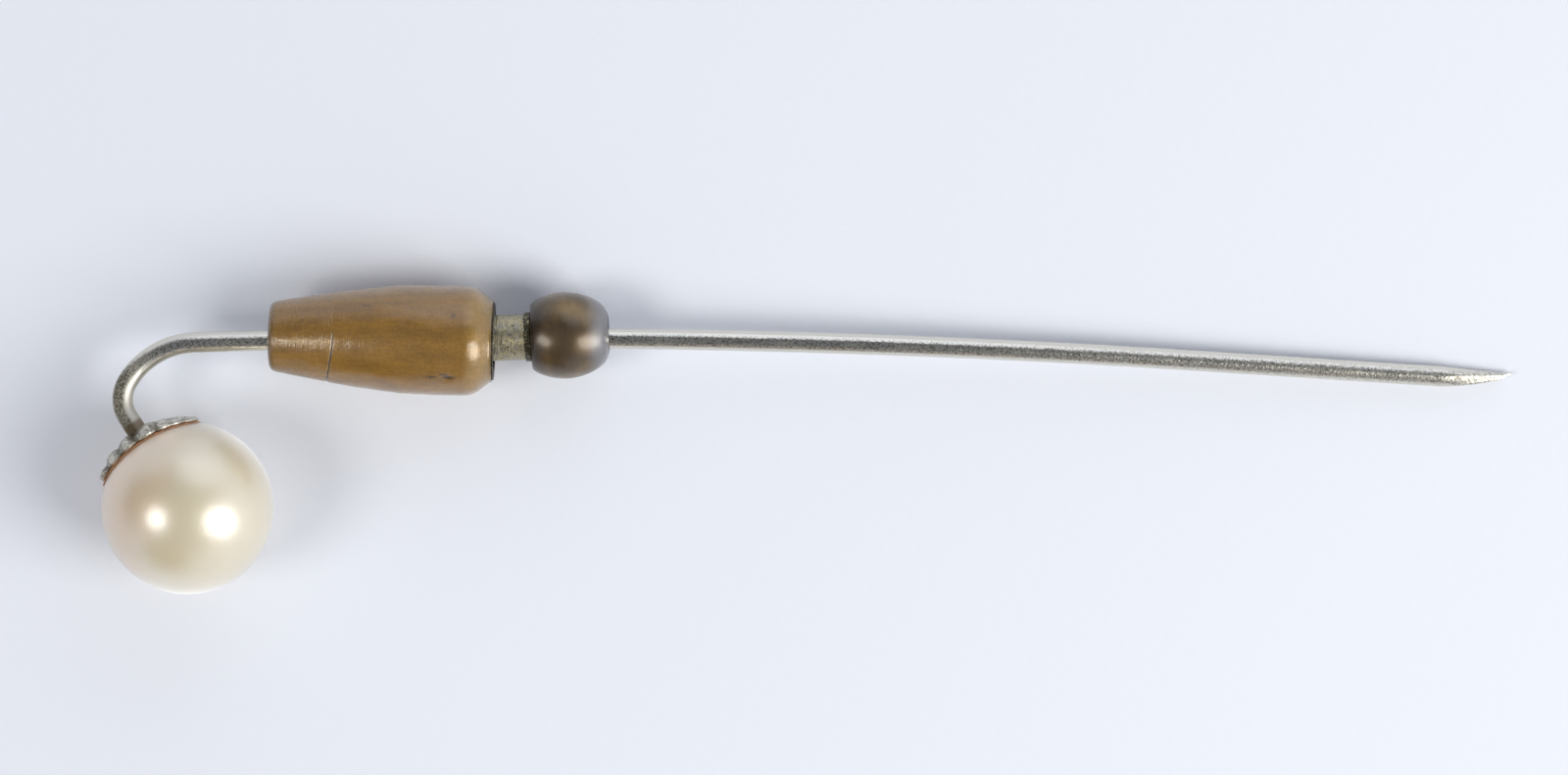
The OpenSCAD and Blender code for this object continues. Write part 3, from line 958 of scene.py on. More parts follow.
@dataclass(frozen=True)
class BronzedBrass(Finish):
    """Chemically bronzed brass: a dark brown skin, rubbed to olive gold on the side and grey at the end."""

    label: str = "bronzed_brass"
    colour: str = "#5c4b34"
    metallic: float = 0.95
    roughness: float = 0.46
    patch: float = 1.4
    thumb: Triple = (3.6, 1.25, 1.5)
    thumb_reach: Pair = (1.0, 0.3)
    thumb_wear: Pair = (-0.06, 0.15)
    rubbed: str = "#8c7142"
    rubbed_from: Pair = (0.42, 0.7)
    rubbed_share: float = 0.8
    grey: str = "#8a8a8c"
    grey_end: Pair = (4.2, 5.2)
    grey_share: float = 0.85
    # Painted shade: the darker colour of the knob's end by the neck.
    darkening: str = "#2b2420"
    shaded_end: Pair = (2.7, 1.9)
    shaded_end_share: float = 0.8
    lathe_lines: Triple = (1 / 0.09, 0.8, 0.8)
    shaded_from: Pair = (0.3, 0.7)
    lathe_shade: Pair = (0.93, 1.05)
    lathe_bump: Relief = Relief(0.14, 0.03)
    grains_per_mm: float = 13.0
    grain_bump: Relief = Relief(0.3, 0.02)

    def constants(self) -> dict:
        """Wax keeps a faint coat on the bronzing."""
        return {"Coat Weight": 0.8, "Coat Roughness": 0.26, "Coat IOR": 1.6}

    def pattern(self, tree: NodeTree, own: NodeSocket) -> dict:
        """Draws rubbed patches, painted shade on the end by the neck, the grey end, the lathe's lines round
        the knob, and fine grain.

        Args:
            tree: the material's tree.
            own: the place along the plunger, to its left, and up.

        Returns:
            What fills the shader's sockets.
        """
        patches = add(tree, "TexNoise", {"Vector": own, "Scale": 1 / self.patch, "Detail": 3.0})
        from_thumb = add(tree, "VectorMath", (own, self.thumb), operation="DISTANCE")
        near_thumb = add(tree, "MapRange", (from_thumb, *self.thumb_reach, *self.thumb_wear))
        wear = add(tree, "Math", (patches, near_thumb), operation="ADD")
        rubbed = add(tree, "MapRange", (wear, *self.rubbed_from, 0.0, self.rubbed_share))
        along = add(tree, "SeparateXYZ", (own,))
        # Painted shade: the end of the knob by the neck is painted a darker colour.
        painted_shade = add(tree, "MapRange", (along, *self.shaded_end, 0.0, self.shaded_end_share), **SMOOTH)
        end = add(tree, "MapRange", (along, *self.grey_end, 0.0, self.grey_share), **SMOOTH)
        base = self.colour
        for share, over in ((rubbed, self.rubbed), (painted_shade, self.darkening), (end, self.grey)):
            base = add(tree, "Mix", {MIX_SHARE: share, MIX_A: base, MIX_B: over}, **COLOURS)
        turned = add(tree, "VectorMath", (own, self.lathe_lines), operation="MULTIPLY")
        lines = add(tree, "TexNoise", {"Vector": turned, "Scale": 1.0, "Detail": 3.0})
        shade = add(tree, "MapRange", (lines, *self.shaded_from, *self.lathe_shade))
        colour = add(tree, "VectorMath", {0: base, "Scale": shade}, operation="SCALE")
        grain = add(tree, "TexNoise", {"Vector": own, "Scale": self.grains_per_mm, "Detail": 3.0})
        lined = add(tree, "Bump", self.lathe_bump.of(lines))
        bump = add(tree, "Bump", self.grain_bump.of(grain) | {"Normal": lined})
        return {"Base Color": colour, "Normal": bump}


@dataclass(frozen=True)
class WhitePaper(Finish):
    """Uncoated white paper: matt, with a faint tooth that only shows in raking light."""

    label: str = "white_paper"
    colour: str = "#ebeff8"
    metallic: float = 0.0
    roughness: float = 0.9
    fibre: float = 0.5
    fibre_bump: Relief = Relief(0.25, 0.05)

    def constants(self) -> dict:
        """Fibres reflect little of their own."""
        return {"Specular IOR Level": 0.2}

    def place(self, tree: NodeTree) -> NodeSocket:
        """The coordinates that the pattern is drawn in: those of the sheet, in metres."""
        return add(tree, "TexCoord").outputs["Object"]

    def pattern(self, tree: NodeTree, own: NodeSocket) -> dict:
        """Raises the tooth of the fibres, which is drawn coarser than real, so that it shows.

        Args:
            tree: the material's tree.
            own: the place on the sheet.

        Returns:
            What fills the shader's sockets.
        """
        fibres = add(tree, "TexNoise", {"Vector": own, "Scale": 1 / (self.fibre * MM), "Detail": 4.0})
        return {"Normal": add(tree, "Bump", self.fibre_bump.of(fibres))}


@dataclass(frozen=True)
class PinWire:
    """The wire: its radius, its point and the little nib that its end was knocked into."""

    radius: float = 0.475
    sides: int = 64
    ring_spacing: float = 0.1
    point_rings: int = 110
    tip_rings: int = 9
    peg_start: float = 0.15
    peg_ease: Pair = (0.1, 0.15)
    tip_radius: float = 0.08
    flats: int = 5
    flats_turn: float = 72.0
    flats_out: float = 1.05
    filed: float = 0.85
    filed_over: Pair = (0.3, 1.8)
    point_rise: float = 0.17
    rise_length: float = 2.4
    nib_length: float = 0.55
    nib_rise: float = 0.14
    uneven: Pair = (0.006, 1.5)
    finish: Finish = field(default_factory=DrawnNickelSilver)

    def build(self, shop: Workshop) -> None:
        """Sweeps a ring along the wire's route and narrows it to the point.

        The point's radius follows a circle that is tangent to the shank, and its rings turn into the
        filed flats of a regular polygon.

        Args:
            shop: the places and what the pieces need.
        """
        point_start, tip = shop.route.ends()[-2:]
        shank = np.arange(self.peg_start, point_start, self.ring_spacing)
        point = np.linspace(point_start, tip, self.point_rings)
        cap = tip + self.tip_radius * np.sin(np.linspace(0, np.pi / 2, self.tip_rings)[1:-1])
        distance = np.concatenate([shank, point, cap])
        along = np.clip(distance - point_start, 0, None)
        narrowing = self.radius - self.tip_radius
        ogive = ((tip - point_start) ** 2 + narrowing**2) / (2 * narrowing)
        radius = self.radius - ogive + np.sqrt(ogive**2 - np.minimum(along, tip - point_start) ** 2)
        over = np.clip(distance - tip, 0, None)
        radius = np.where(over > 0, np.sqrt(np.clip(self.tip_radius**2 - over**2, 0, None)), radius)
        # The cut end of the peg is eased, so that its ring doesn't end in a sharp rim.
        ease_length, ease = self.peg_ease
        radius = radius * (1 - ease * step(-distance, -self.peg_start - ease_length, -self.peg_start))

        places, heading = shop.route.follow(distance)
        bent = self.point_rise * step(distance, tip - self.rise_length, tip)
        bent = bent + self.nib_rise * step(distance, tip - self.nib_length, tip + self.tip_radius)
        angle = np.linspace(0, 2 * np.pi, self.sides, endpoint=False)
        pitch = 2 * np.pi / self.flats
        into_flat = np.mod(angle - np.radians(self.flats_turn), pitch) - pitch / 2
        flat = np.cos(pitch / 2) / np.cos(into_flat) * self.flats_out
        filed = self.filed * step(distance - point_start, *self.filed_over)[:, None]
        ring = radius[:, None] * (1 + filed * (np.minimum(flat, 1.0) - 1))
        own = np.stack([distance[:, None] + 0 * ring, ring * np.cos(angle), ring * np.sin(angle)], axis=-1)
        ring = ring * (1 + self.uneven[0] * unevenness(own, self.uneven[1], seed=3))
        own[..., 1], own[..., 2] = ring * np.cos(angle), ring * np.sin(angle)
        side = own[..., 1] + bent[:, None]
        x = places[:, :1] - side * np.sin(heading)[:, None]
        y = places[:, 1:] + side * np.cos(heading)[:, None]
        grid = np.stack([x, y, own[..., 2]], axis=-1)
        shop.piece("hooked_wire", grid, own, self.finish, Body.PIN, "pin_wire", "wire_nickel_silver")


@dataclass(frozen=True)
class PearlHead:
    """The pearl, and the lobed cap with its gilded lining that hugs the pearl about the wire."""

    radius: float = 4.0
    sides: int = 256
    ball_rings: int = 180
    hole_rings: int = 20
    floor_rings: int = 6
    pole_angle: float = 0.01
    floor_centre: float = 0.02
    uneven: Pair = (0.012, 5.0)
    hole_radius: float = 0.505
    drill_depth: float = 4.0
    gap: float = 0.03
    cap_grid: tuple[int, int, int] = (384, 64, 8)
    lining_grid: tuple[int, int, int] = (256, 24, 6)
    cap_long: float = 41.0
    cap_short: float = 25.0
    cap_thick: float = 0.12
    cap_thinning: float = 0.6
    cap_uneven: Pair = (0.014, 0.9)
    cap_rough: Pair = (0.012, 0.3)
    edge_round: float = 0.012
    lobe_rise: float = 0.17
    long_lobe_rise: float = 0.06
    grooves: tuple[float, ...] = (-41.0, -31.5, -23.0, -14.0, 2.4, 15.7, 28.7, 41.5)
    long_lobe_from: float = -14.0
    long_lobe_blend: float = 3.0
    long_lobe_groove: float = 0.35
    scallop: float = 0.07
    lining_thick: float = 0.045
    lining_show: float = 0.6
    lining_uneven: Pair = (0.35, 6.0)
    pearl_finish: Finish = field(default_factory=Nacre)
    cap_finish: Finish = field(default_factory=StruckSilver)
    lining_finish: Finish = field(default_factory=WornGilding)

    def build(self, shop: Workshop) -> None:
        """Makes the pearl, the lining and the cap.

        Args:
            shop: the places and what the pieces need.
        """
        self.pearl(shop)
        self.shell(shop, Layer.LINING)
        self.shell(shop, Layer.CAP)

    def pearl(self, shop: Workshop) -> None:
        """Turns the outline of a half-drilled ball about the wire, a little uneven in its roundness.

        Args:
            shop: the places and what the pieces need.
        """
        # The rows stop just short of the axis, where a fan closes them.
        rim = np.arcsin(self.hole_radius / self.radius)
        angle = np.linspace(np.pi - self.pole_angle, rim, self.ball_rings)
        ball = np.stack([np.sin(angle), np.cos(angle)], axis=1) * self.radius
        depth = np.linspace(ball[-1, 1], self.radius - self.drill_depth, self.hole_rings)[1:]
        wall = np.stack([np.full(len(depth), self.hole_radius), depth], axis=1)
        inwards = np.linspace(self.hole_radius, self.floor_centre, self.floor_rings)[1:]
        floor = np.stack([inwards, np.full(len(inwards), depth[-1])], axis=1)
        profile = np.concatenate([ball, wall, floor])

        def swell(own: np.ndarray) -> np.ndarray:
            """Adds the unevenness on the ball and none in its hole."""
            on_ball = np.linalg.norm(own, axis=-1) > self.radius - self.gap
            return np.where(on_ball, self.uneven[0] * unevenness(own, self.uneven[1], seed=8), 0.0)

        grid, _ = spun(Station(0, 0, shop.route.leave), profile, self.sides, swell)
        shop.piece("pearl_bead", grid, grid, self.pearl_finish, Body.PIN, "pearl", "pearl")

    def lobe(self, u: np.ndarray) -> np.ndarray:
        """Height of the lobes at an angle along the hook: half a sine wave, 0 in a groove and 1 on a crest.

        The side towards the guard is one long lobe with shallow grooves.

        Args:
            u: the angle in degrees.

        Returns:
            The height, from 0 to 1.
        """
        between = np.interp(u, self.grooves, np.arange(len(self.grooves)))
        hump = np.abs(np.sin(np.pi * between))
        return np.where(u > self.long_lobe_from, hump, 1 - self.long_lobe_groove * (1 - hump))

    def cap_height(self, u: np.ndarray, v: np.ndarray, share: np.ndarray, under: float) -> np.ndarray:
        """Height of the cap over its underside: a thin plate with lobes, which thins towards its edge.

        It is scaled by the square root of 1 less a part of the share's fourth power, and two random
        fields make it uneven.

        Args:
            u: angles along the hook, in degrees.
            v: angles across it.
            share: how far out a place is, as a share of the cap's reach.
            under: distance of the underside from the pearl's centre.

        Returns:
            The height in millimetres.
        """
        surface = np.stack([u, v, 0 * u], axis=-1) * under * np.pi / 180
        from_long = -u + self.long_lobe_from
        towards_guard = step(from_long, -self.long_lobe_blend, self.long_lobe_blend)
        rise = self.lobe_rise + (self.long_lobe_rise - self.lobe_rise) * towards_guard
        thinning = np.sqrt(1 - self.cap_thinning * np.minimum(share, 1) ** 4)
        height = (self.cap_thick + rise * self.lobe(u)) * thinning
        for (depth, size), seed in ((self.cap_uneven, 21), (self.cap_rough, 22)):
            height = height + depth * unevenness(surface, size, seed=seed)
        return height

    def shell(self, shop: Workshop, layer: Layer) -> None:
        """Makes a shell that hugs the pearl: out along its underside, round its edge, and back over the top.

        A place is at an angle from the wire's axis, up to the reach of an oval, in a direction round the
        axis. Its distance from the pearl's centre is that of the underside, plus the shell's height there.

        Args:
            shop: the places and what the pieces need.
            layer: the cap or its lining.
        """
        cap = layer is Layer.CAP
        rays, rings, edge_steps = self.cap_grid if cap else self.lining_grid
        round_axis = np.linspace(0, 2 * np.pi, rays, endpoint=False)
        across, over = np.cos(round_axis), np.sin(round_axis)
        oval = 1 / np.hypot(across / self.cap_long, over / self.cap_short)
        under = self.radius + self.gap + (self.gap + self.lining_thick if cap else 0)
        if cap:
            reach = oval * (1 - self.scallop * (1 - self.lobe(oval * across)))
        else:
            edge = np.stack([oval * across, oval * over, 0 * oval], axis=-1)
            most, size = self.lining_uneven
            reach = oval + self.lining_show * (1 + most * unevenness(edge, size, seed=24))
        # The loop of layers: share of the reach, and share of the height.
        out = np.linspace(0, 1, rings)
        bend = np.linspace(-np.pi / 2, np.pi / 2, edge_steps)[1:-1]
        share = np.concatenate([out, 1 + self.edge_round * np.cos(bend), out[::-1]])[:, None]
        lift = np.concatenate([0 * out, (1 + np.sin(bend)) / 2, 0 * out + 1])[:, None]
        start = np.degrees(self.hole_radius / under)
        off_axis = start + share * (reach - start)
        u, v = off_axis * across, off_axis * over
        height = self.cap_height(u, v, share, under) if cap else self.lining_thick + 0 * u
        distance, off = under + lift * height, np.radians(off_axis)
        outwards = np.stack([np.cos(off), np.sin(off) * across, np.sin(off) * over], axis=-1)
        grid = Station(0, 0, shop.route.leave).grid(outwards * distance[..., None])
        relief = self.lobe(u) if cap else 0 * u
        own = np.stack([u * under * np.pi / 180, v * under * np.pi / 180, relief], axis=-1)
        if cap:
            name, finish, node, slot = "lobed_cap", self.cap_finish, "pearl_cap", "cap_silver"
        else:
            name, finish, node, slot = "gilt_lining", self.lining_finish, "cap_lining", "lining_gilt"
        shop.piece(name, grid, own, finish, Body.PIN, node, slot, looped=True)


@dataclass(frozen=True)
class GuardBarrel:
    """The spun barrel of the guard and the ring in its mouth."""

    along_bow: float = 3.48
    lift: float = 0.2
    heading: float = -1.4
    length: float = 10.37
    sides: int = 224
    spacing: float = 0.1
    bore: float = 0.75
    face: float = 1.6
    flank_middle: Pair = (2.17, 3.2)
    full: float = 2.55
    full_from: float = 6.1
    shoulder_from: float = 9.5
    mouth: float = 1.93
    mouth_lip: float = 0.09
    seat_depth: float = 0.6
    wall: float = 0.35
    face_wall: float = 0.5
    ring_sides: int = 160
    ring_thick: float = 0.49
    ring_proud: float = 0.08
    ring_hole: float = 1.32
    ring_gap: float = 0.03
    worn_off_bore: Pair = (0.2, 0.4)
    worn_past_face: Pair = (0.05, 0.4)
    soft: Pair = (0.012, 2.2)
    rough: Pair = (0.004, 0.6)
    dent: Pair = (8.4, 0.75)
    dent_half: Pair = (0.22, 0.08)
    dent_depth: float = 0.04
    crack: Crack = field(default_factory=Crack)
    finish: Finish = field(default_factory=LacqueredBrass)
    ring_finish: Finish = field(default_factory=TurnedNickel)

    def station(self, route: Route) -> Station:
        """Where the axis starts: in the narrow face, a little over the wire, since the barrel is loose."""
        on_wire = route.on_bow(self.along_bow)
        return Station(on_wire.x, on_wire.y + self.lift, self.heading)

    def wear(self, own: np.ndarray) -> np.ndarray:
        """What wear adds to the radius: soft unevenness, the crack round the flank and a small dent.

        The crack and the dent are bell curves about their lines, and none of the three is on the bore
        or the narrow face.

        Args:
            own: places along the barrel, to its left, and up.

        Returns:
            The change of the radius, in millimetres.
        """
        along, left, up = own[..., 0], own[..., 1], own[..., 2]
        outside = step(np.hypot(left, up) - self.bore, *self.worn_off_bore)
        outside = outside * step(along, *self.worn_past_face)
        soft = self.soft[0] * unevenness(own, self.soft[1], seed=5)
        soft = soft + self.rough[0] * unevenness(own, self.rough[1], seed=6)
        crack, down = self.crack, np.arctan2(-left, up)
        line = crack.place - crack.lean * step(down, crack.turn_from, crack.lean_to)
        closed = step(down, *crack.closes)
        open_share = step(down, crack.turn_from, crack.turn_from + crack.cut_opens) * (1 - closed)
        cut = crack.depth * open_share * np.exp(-(((along - line) / crack.width) ** 2))
        off_dent = ((along - self.dent[0]) / self.dent_half[0]) ** 2
        off_dent = off_dent + ((down - self.dent[1]) / self.dent_half[1]) ** 2
        return outside * (soft - cut - self.dent_depth * np.exp(-off_dent))

    def build(self, shop: Workshop) -> None:
        """Turns the barrel and the ring.

        Args:
            shop: the places and what the pieces need.
        """
        shoulder_end = self.length - self.mouth_lip
        seat = self.mouth - self.mouth_lip
        corners = [
            (self.bore, 0, 0.05),
            (self.face, 0, 0.36),
            (*self.flank_middle, 1.5),
            (self.full, self.full_from, 1.2),
            (self.full, self.shoulder_from, 0.48),
            (self.mouth, shoulder_end, 0.07),
            (self.mouth, self.length, 0.025),
            (seat, self.length, 0.025),
            (seat, shoulder_end - self.seat_depth, 0),
            (self.full - self.wall, self.shoulder_from - self.wall, 0),
            (self.full - self.wall, self.full_from, 0),
            (self.face - self.wall, self.face_wall, 0),
            (self.bore, self.face_wall, 0),
        ]
        station = self.station(shop.route)
        by_crack = (self.crack.place + self.crack.fine[0], self.crack.place + self.crack.fine[1])
        outline = divided(eased_loop(corners), self.spacing, by_crack)
        grid, own = spun(station, outline, self.sides, self.wear)
        shop.piece(
            "spun_barrel", grid, own, self.finish, Body.GUARD,
            "guard_barrel", "barrel_brass", looped=True,
        )

        inner, outer = self.ring_hole, seat - self.ring_gap
        near, far = self.length + self.ring_proud - self.ring_thick, self.length + self.ring_proud
        corners = [(inner, near, 0.02), (inner, far, 0.03), (outer, far, 0.03), (outer, near, 0.02)]
        grid, own = spun(station, divided(eased_loop(corners, 6), self.spacing), self.ring_sides)
        shop.piece(
            "mouth_plate", grid, own, self.ring_finish, Body.GUARD,
            "mouth_ring", "ring_nickel", looped=True,
        )


@dataclass(frozen=True)
class GuardPlunger:
    """The neck that slides in the barrel's mouth, and the knob on its end."""

    lift: float = 0.15
    heading: float = 2.3
    bore: float = 0.77
    neck: float = 1.06
    neck_sides: int = 192
    neck_spacing: float = 0.05
    neck_from: float = -1.83
    neck_shown: float = 1.82
    neck_sunk: float = 0.8
    neck_worn_past: Pair = (0.0, 0.1)
    neck_worn_off: Pair = (0.9, 1.0)
    neck_fade: float = 0.02
    neck_uneven: Pair = (0.004, 0.5)
    neck_rough: Pair = (0.003, 0.2)
    flange: float = 1.6
    flange_thick: float = 0.4
    collar: float = 1.14
    collar_length: float = 0.3
    knob: float = 2.015
    knob_sides: int = 224
    knob_spacing: float = 0.07
    egg_stations: int = 70
    knob_length: float = 3.6
    knob_face: float = 1.55
    knob_half: float = 2.42
    near_ease: float = 0.015
    far_ease: float = 0.2
    knob_rims: Pair = (0.1, 0.3)
    knob_rim_lengths: Pair = (0.16, 0.3)
    knob_worn_off: Pair = (0.1, 0.4)
    knob_uneven: Pair = (0.008, 1.2)
    gap: float = 0.03
    neck_finish: Finish = field(default_factory=TarnishedNickel)
    knob_finish: Finish = field(default_factory=BronzedBrass)

    def station(self, barrel: GuardBarrel, route: Route) -> Station:
        """Where the axis starts: in the mouth of the barrel, a little over its axis."""
        mouth = barrel.station(route).ahead(barrel.length)
        return Station(mouth.x, mouth.y + self.lift, self.heading)

    def build(self, shop: Workshop, barrel: GuardBarrel) -> None:
        """Turns the neck and the knob.

        Args:
            shop: the places and what the pieces need.
            barrel: the barrel that the plunger slides in.
        """
        station = self.station(barrel, shop.route)
        self.turn_neck(shop, station)
        self.turn_knob(shop, station)

    def turn_neck(self, shop: Workshop, station: Station) -> None:
        """Turns the neck: a tube with a flange inside the barrel and a low collar by the knob.

        Args:
            shop: the places and what the pieces need.
            station: where the plunger's axis starts.
        """
        flange_to = self.neck_from + self.flange_thick
        collar_from, collar_to = self.neck_shown - self.collar_length, self.neck_shown - self.gap
        end = self.neck_shown + self.neck_sunk
        corners = [
            (self.bore, self.neck_from, 0),
            (self.flange, self.neck_from, 0.03),
            (self.flange, flange_to, 0.03),
            (self.neck, flange_to, 0),
            (self.neck, collar_from, 0.02),
            (self.collar, collar_from + 0.03, 0.02),
            (self.collar, collar_to, 0.02),
            (self.neck, collar_to, 0),
            (self.neck, end, 0),
            (self.bore, end, 0),
        ]

        def wear(own: np.ndarray) -> np.ndarray:
            """Adds the rough skin of the part that shows: two random fields, faded out at its ends.

            Args:
                own: places along the neck, to its left, and up.

            Returns:
                The change of the radius.
            """
            off_axis = np.hypot(own[..., 1], own[..., 2])
            shown = step(own[..., 0], *self.neck_worn_past) * step(off_axis, *self.neck_worn_off)
            rough = self.neck_uneven[0] * unevenness(own, self.neck_uneven[1], seed=11)
            rough = rough + self.neck_rough[0] * unevenness(own, self.neck_rough[1], seed=12)
            return shown * step(-own[..., 0], -self.neck_shown, -collar_to + self.neck_fade) * rough

        outline = divided(eased_loop(corners, 4), self.neck_spacing)
        grid, own = spun(station, outline, self.neck_sides, wear)
        shop.piece(
            "sliding_neck", grid, own, self.neck_finish, Body.PLUNGER,
            "guard_neck", "neck_nickel", looped=True,
        )

    def turn_knob(self, shop: Workshop, station: Station) -> None:
        """Turns the knob: an egg whose radius is that of an ellipse about its widest station.

        Args:
            shop: the places and what the pieces need.
            station: where the plunger's axis starts.
        """
        start, end = self.neck_shown, self.neck_shown + self.knob_length
        middle = start + self.knob_face
        x = np.linspace(start, end, self.egg_stations)
        egg = self.knob * np.sqrt(1 - ((x - middle) / self.knob_half) ** 2)
        # The ends of the egg are eased into its two flat faces.
        between = x[1:-1]
        eased = egg[1:-1] - self.rim_ease(between, start, end)
        corners = [
            (egg[0] - self.near_ease, start, 0.05),
            *np.stack([eased, between, 0 * between], axis=1).tolist(),
            (egg[-1] - self.far_ease, end, 0.1),
            (self.bore, end, 0.06),
            (self.bore, start + self.neck_sunk + self.gap, 0),
            (self.neck + self.gap, start + self.neck_sunk + self.gap, 0),
            (self.neck + self.gap, start, 0.02),
        ]

        def wear(own: np.ndarray) -> np.ndarray:
            """Adds slight unevenness outside the bore and the socket."""
            outside = step(np.hypot(own[..., 1], own[..., 2]) - self.neck, *self.knob_worn_off)
            return outside * self.knob_uneven[0] * unevenness(own, self.knob_uneven[1], seed=15)

        outline = divided(eased_loop(corners, 6), self.knob_spacing)
        grid, own = spun(station, outline, self.knob_sides, wear)
        shop.piece(
            "pull_knob", grid, own, self.knob_finish, Body.PLUNGER,
            "guard_knob", "knob_bronzed", looped=True,
        )

    def rim_ease(self, x: np.ndarray, start: float, end: float) -> np.ndarray:
        """What the rounding of the two rims takes off the radius: a quarter circle's sagitta near each end.

        Args:
            x: places along the axis.
            start: the place of the face by the neck.
            end: the place of the far face.

        Returns:
            What comes off at each place.
        """
        taken = 0 * x
        for rim, length, inside in zip(self.knob_rims, self.knob_rim_lengths, (x - start, end - x)):
            taken = taken + rim * (1 - np.sqrt(1 - np.clip(1 - inside / length, 0, 1) ** 2))
        return taken


def towards(off_axis: float, azimuth: float) -> np.ndarray:
    """The direction at an angle from the camera's axis, and at an azimuth round it, both in degrees."""
    off, turn = np.radians(off_axis), np.radians(azimuth)
    return np.array([np.sin(off) * np.cos(turn), np.sin(off) * np.sin(turn), np.cos(off)])


def glow(colour: str, strength: float) -> tuple[float, ...]:
    """A hex colour's light, times a strength."""
    return (*(v * strength for v in linear(colour)[:3]), 1.0)


@dataclass(frozen=True)
class Softbox:
    """A round lamp, placed by its direction from the middle of the picture as the camera sees it."""

    name: str
    off_axis: float
    azimuth: float
    distance: float
    width: float
    height: float
    watts: float
    colour: str = "#fffdf8"

    def hang(self, plane: WirePlane, middle: np.ndarray) -> None:
        """Hangs the lamp and points it at the middle of the picture.

        Args:
            plane: the plane that the camera looks at squarely.
            middle: the middle of the picture in the plane, in millimetres.
        """
        place = Vector(plane.lay(middle + towards(self.off_axis, self.azimuth) * self.distance))
        data = bpy.data.lights.new(self.name, "AREA")
        data.shape = "ELLIPSE"
        data.size, data.size_y = self.width * MM, self.height * MM
        data.energy = self.watts
        data.color = linear(self.colour)[:3]
        lamp = bpy.data.objects.new(self.name, data)
        lamp.location = place
        lamp.rotation_euler = (place - Vector(plane.lay(middle))).to_track_quat("Z", "Y").to_euler()
        lamp.visible_camera = False
        bpy.context.scene.collection.objects.link(lamp)


@dataclass(frozen=True)
class SkyPatch:
    """A soft round patch of the room's light, placed as a lamp is, with the angles where it fades."""

    off_axis: float
    azimuth: float
    inner: float
    outer: float
    colour: str
    strength: float


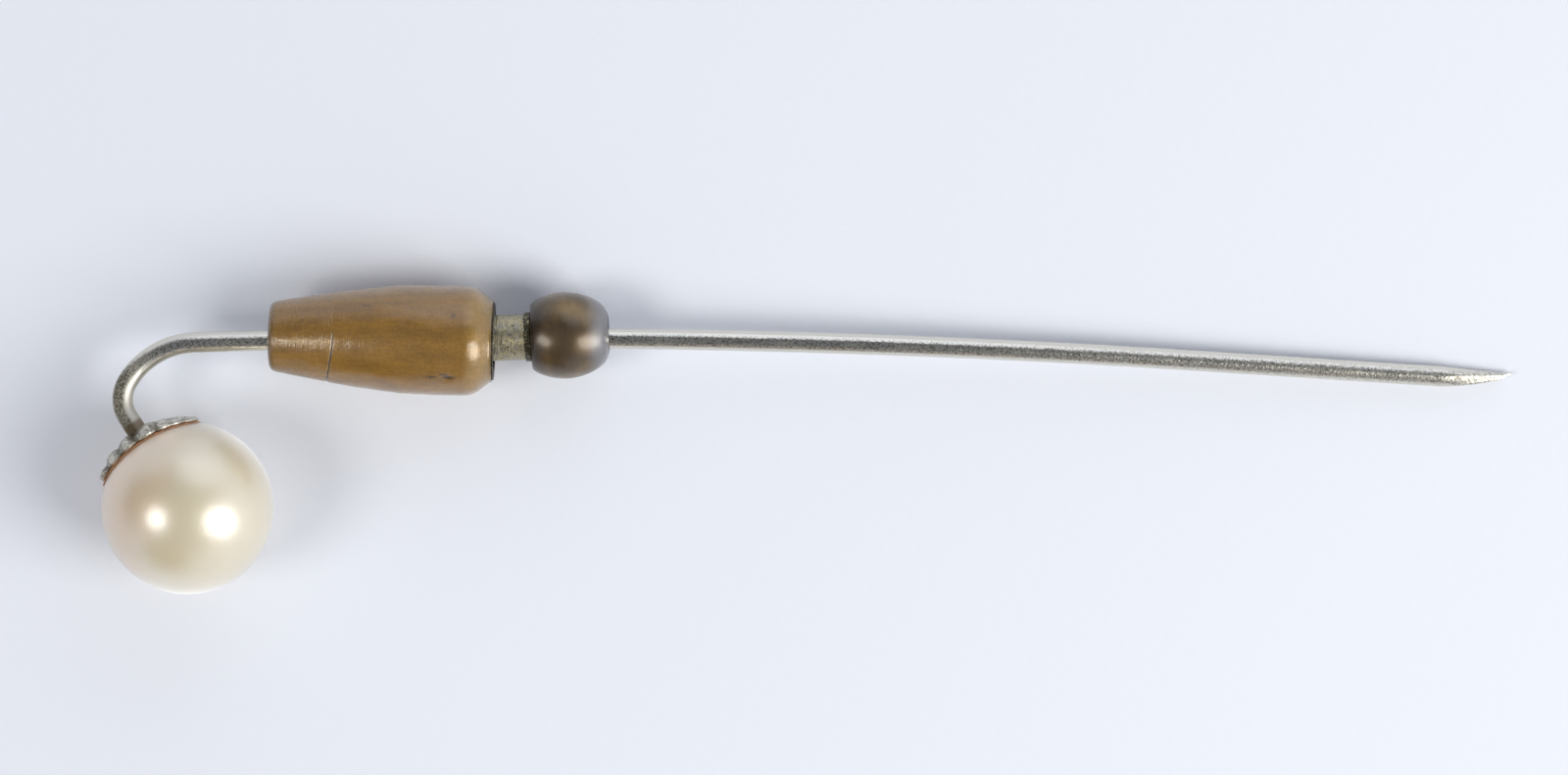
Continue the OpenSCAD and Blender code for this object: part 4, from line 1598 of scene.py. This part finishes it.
@dataclass(frozen=True)
class Studio:
    """The picture: the camera, the paper, the lamps and the room that they stand in."""

    lens: float = 150.0
    sensor: float = 36.0
    clip: Pair = (0.01, 10.0)
    paper: Finish = field(default_factory=WhitePaper)
    paper_half: float = 1200.0
    room_colour: str = "#e9eefb"
    room_strength: float = 0.95
    lamps: tuple[Softbox, ...] = (
        Softbox("right_softbox", 50.0, -25.0, 335.0, 215.0, 290.0, 0.84),
        Softbox("left_softbox", 43.0, -160.5, 450.0, 190.0, 190.0, 0.54),
    )
    patches: tuple[SkyPatch, ...] = (
        SkyPatch(0.0, 0.0, 34.0, 80.0, "#ccd2dc", 0.29),
        SkyPatch(62.0, 70.0, 16.0, 35.0, "#ecf2ff", 1.35),
        SkyPatch(84.0, 0.0, 15.0, 45.0, "#ecf2ff", 1.0),
        SkyPatch(61.0, 172.0, 16.0, 40.0, "#c4bcae", 0.38),
        SkyPatch(73.0, -112.0, 8.0, 34.0, "#ccb694", 0.42),
    )

    def middle(self) -> np.ndarray:
        """The middle of the picture in the wire's plane, in millimetres."""
        x, y = IMAGE_PX[0] / 2 - PEARL_PX[0], PEARL_PX[1] - IMAGE_PX[1] / 2
        return np.array([x * MM_PER_PX, y * MM_PER_PX, 0.0])

    def set_up(self, plane: WirePlane) -> None:
        """Makes the camera, the lamps, the paper and the room.

        Args:
            plane: the plane that the camera looks at squarely.
        """
        middle = self.middle()
        data = bpy.data.cameras.new("camera")
        data.lens, data.sensor_width = self.lens, self.sensor
        data.clip_start, data.clip_end = self.clip
        camera = bpy.data.objects.new("camera", data)
        distance = IMAGE_PX[0] * MM_PER_PX / self.sensor * self.lens
        place = plane.lay(middle + np.array([0, 0, distance]))
        camera.matrix_world = Matrix.Translation(Vector(place)) @ Matrix(plane.turn.tolist()).to_4x4()
        bpy.context.scene.collection.objects.link(camera)
        bpy.context.scene.camera = camera
        for lamp in self.lamps:
            lamp.hang(plane, middle)
        self.lay_paper()
        self.light_room(plane)
        bpy.context.scene.view_settings.view_transform = "Standard"

    def lay_paper(self) -> None:
        """Lays the sheet of paper that the pin lies on."""
        half = self.paper_half * MM
        mesh = bpy.data.meshes.new("paper")
        corners = [(-half, -half, 0), (half, -half, 0), (half, half, 0), (-half, half, 0)]
        mesh.from_pydata(corners, [], [(0, 1, 2, 3)])
        mesh.materials.append(self.paper.material())
        paper = bpy.data.objects.new("paper", mesh)
        bpy.context.scene.collection.objects.link(paper)

    def light_room(self, plane: WirePlane) -> None:
        """Lights the room: an even pale light with soft patches, one over the other.

        Args:
            plane: the plane that the patches are placed by.
        """
        world = bpy.data.worlds.new("room")
        world.use_nodes = True
        bpy.context.scene.world = world
        tree = world.node_tree
        tree.nodes.clear()
        ray = add(tree, "TexCoord").outputs["Generated"]
        light = glow(self.room_colour, self.room_strength)
        for patch in self.patches:
            centre = tuple(plane.turn @ towards(patch.off_axis, patch.azimuth))
            near = add(tree, "VectorMath", (ray, centre), operation="DOT_PRODUCT")
            fade = (float(np.cos(np.radians(angle))) for angle in (patch.outer, patch.inner))
            share = add(tree, "MapRange", (near, *fade), **SMOOTH)
            over = glow(patch.colour, patch.strength)
            light = add(tree, "Mix", {MIX_SHARE: share, MIX_A: light, MIX_B: over}, **COLOURS)
        background = add(tree, "Background", {"Color": light})
        add(tree, "OutputWorld", {"Surface": background})


def main() -> None:
    """Sets up the picture and builds the pin's sub-assemblies in order."""
    logging.basicConfig(level=logging.INFO, format="%(name)s: %(message)s")
    plane = WirePlane.from_frame()
    shop = Workshop(plane, Route())
    Studio().set_up(plane)
    PinWire().build(shop)
    PearlHead().build(shop)
    barrel = GuardBarrel()
    barrel.build(shop)
    GuardPlunger().build(shop, barrel)


if __name__ == "__main__":
    main()
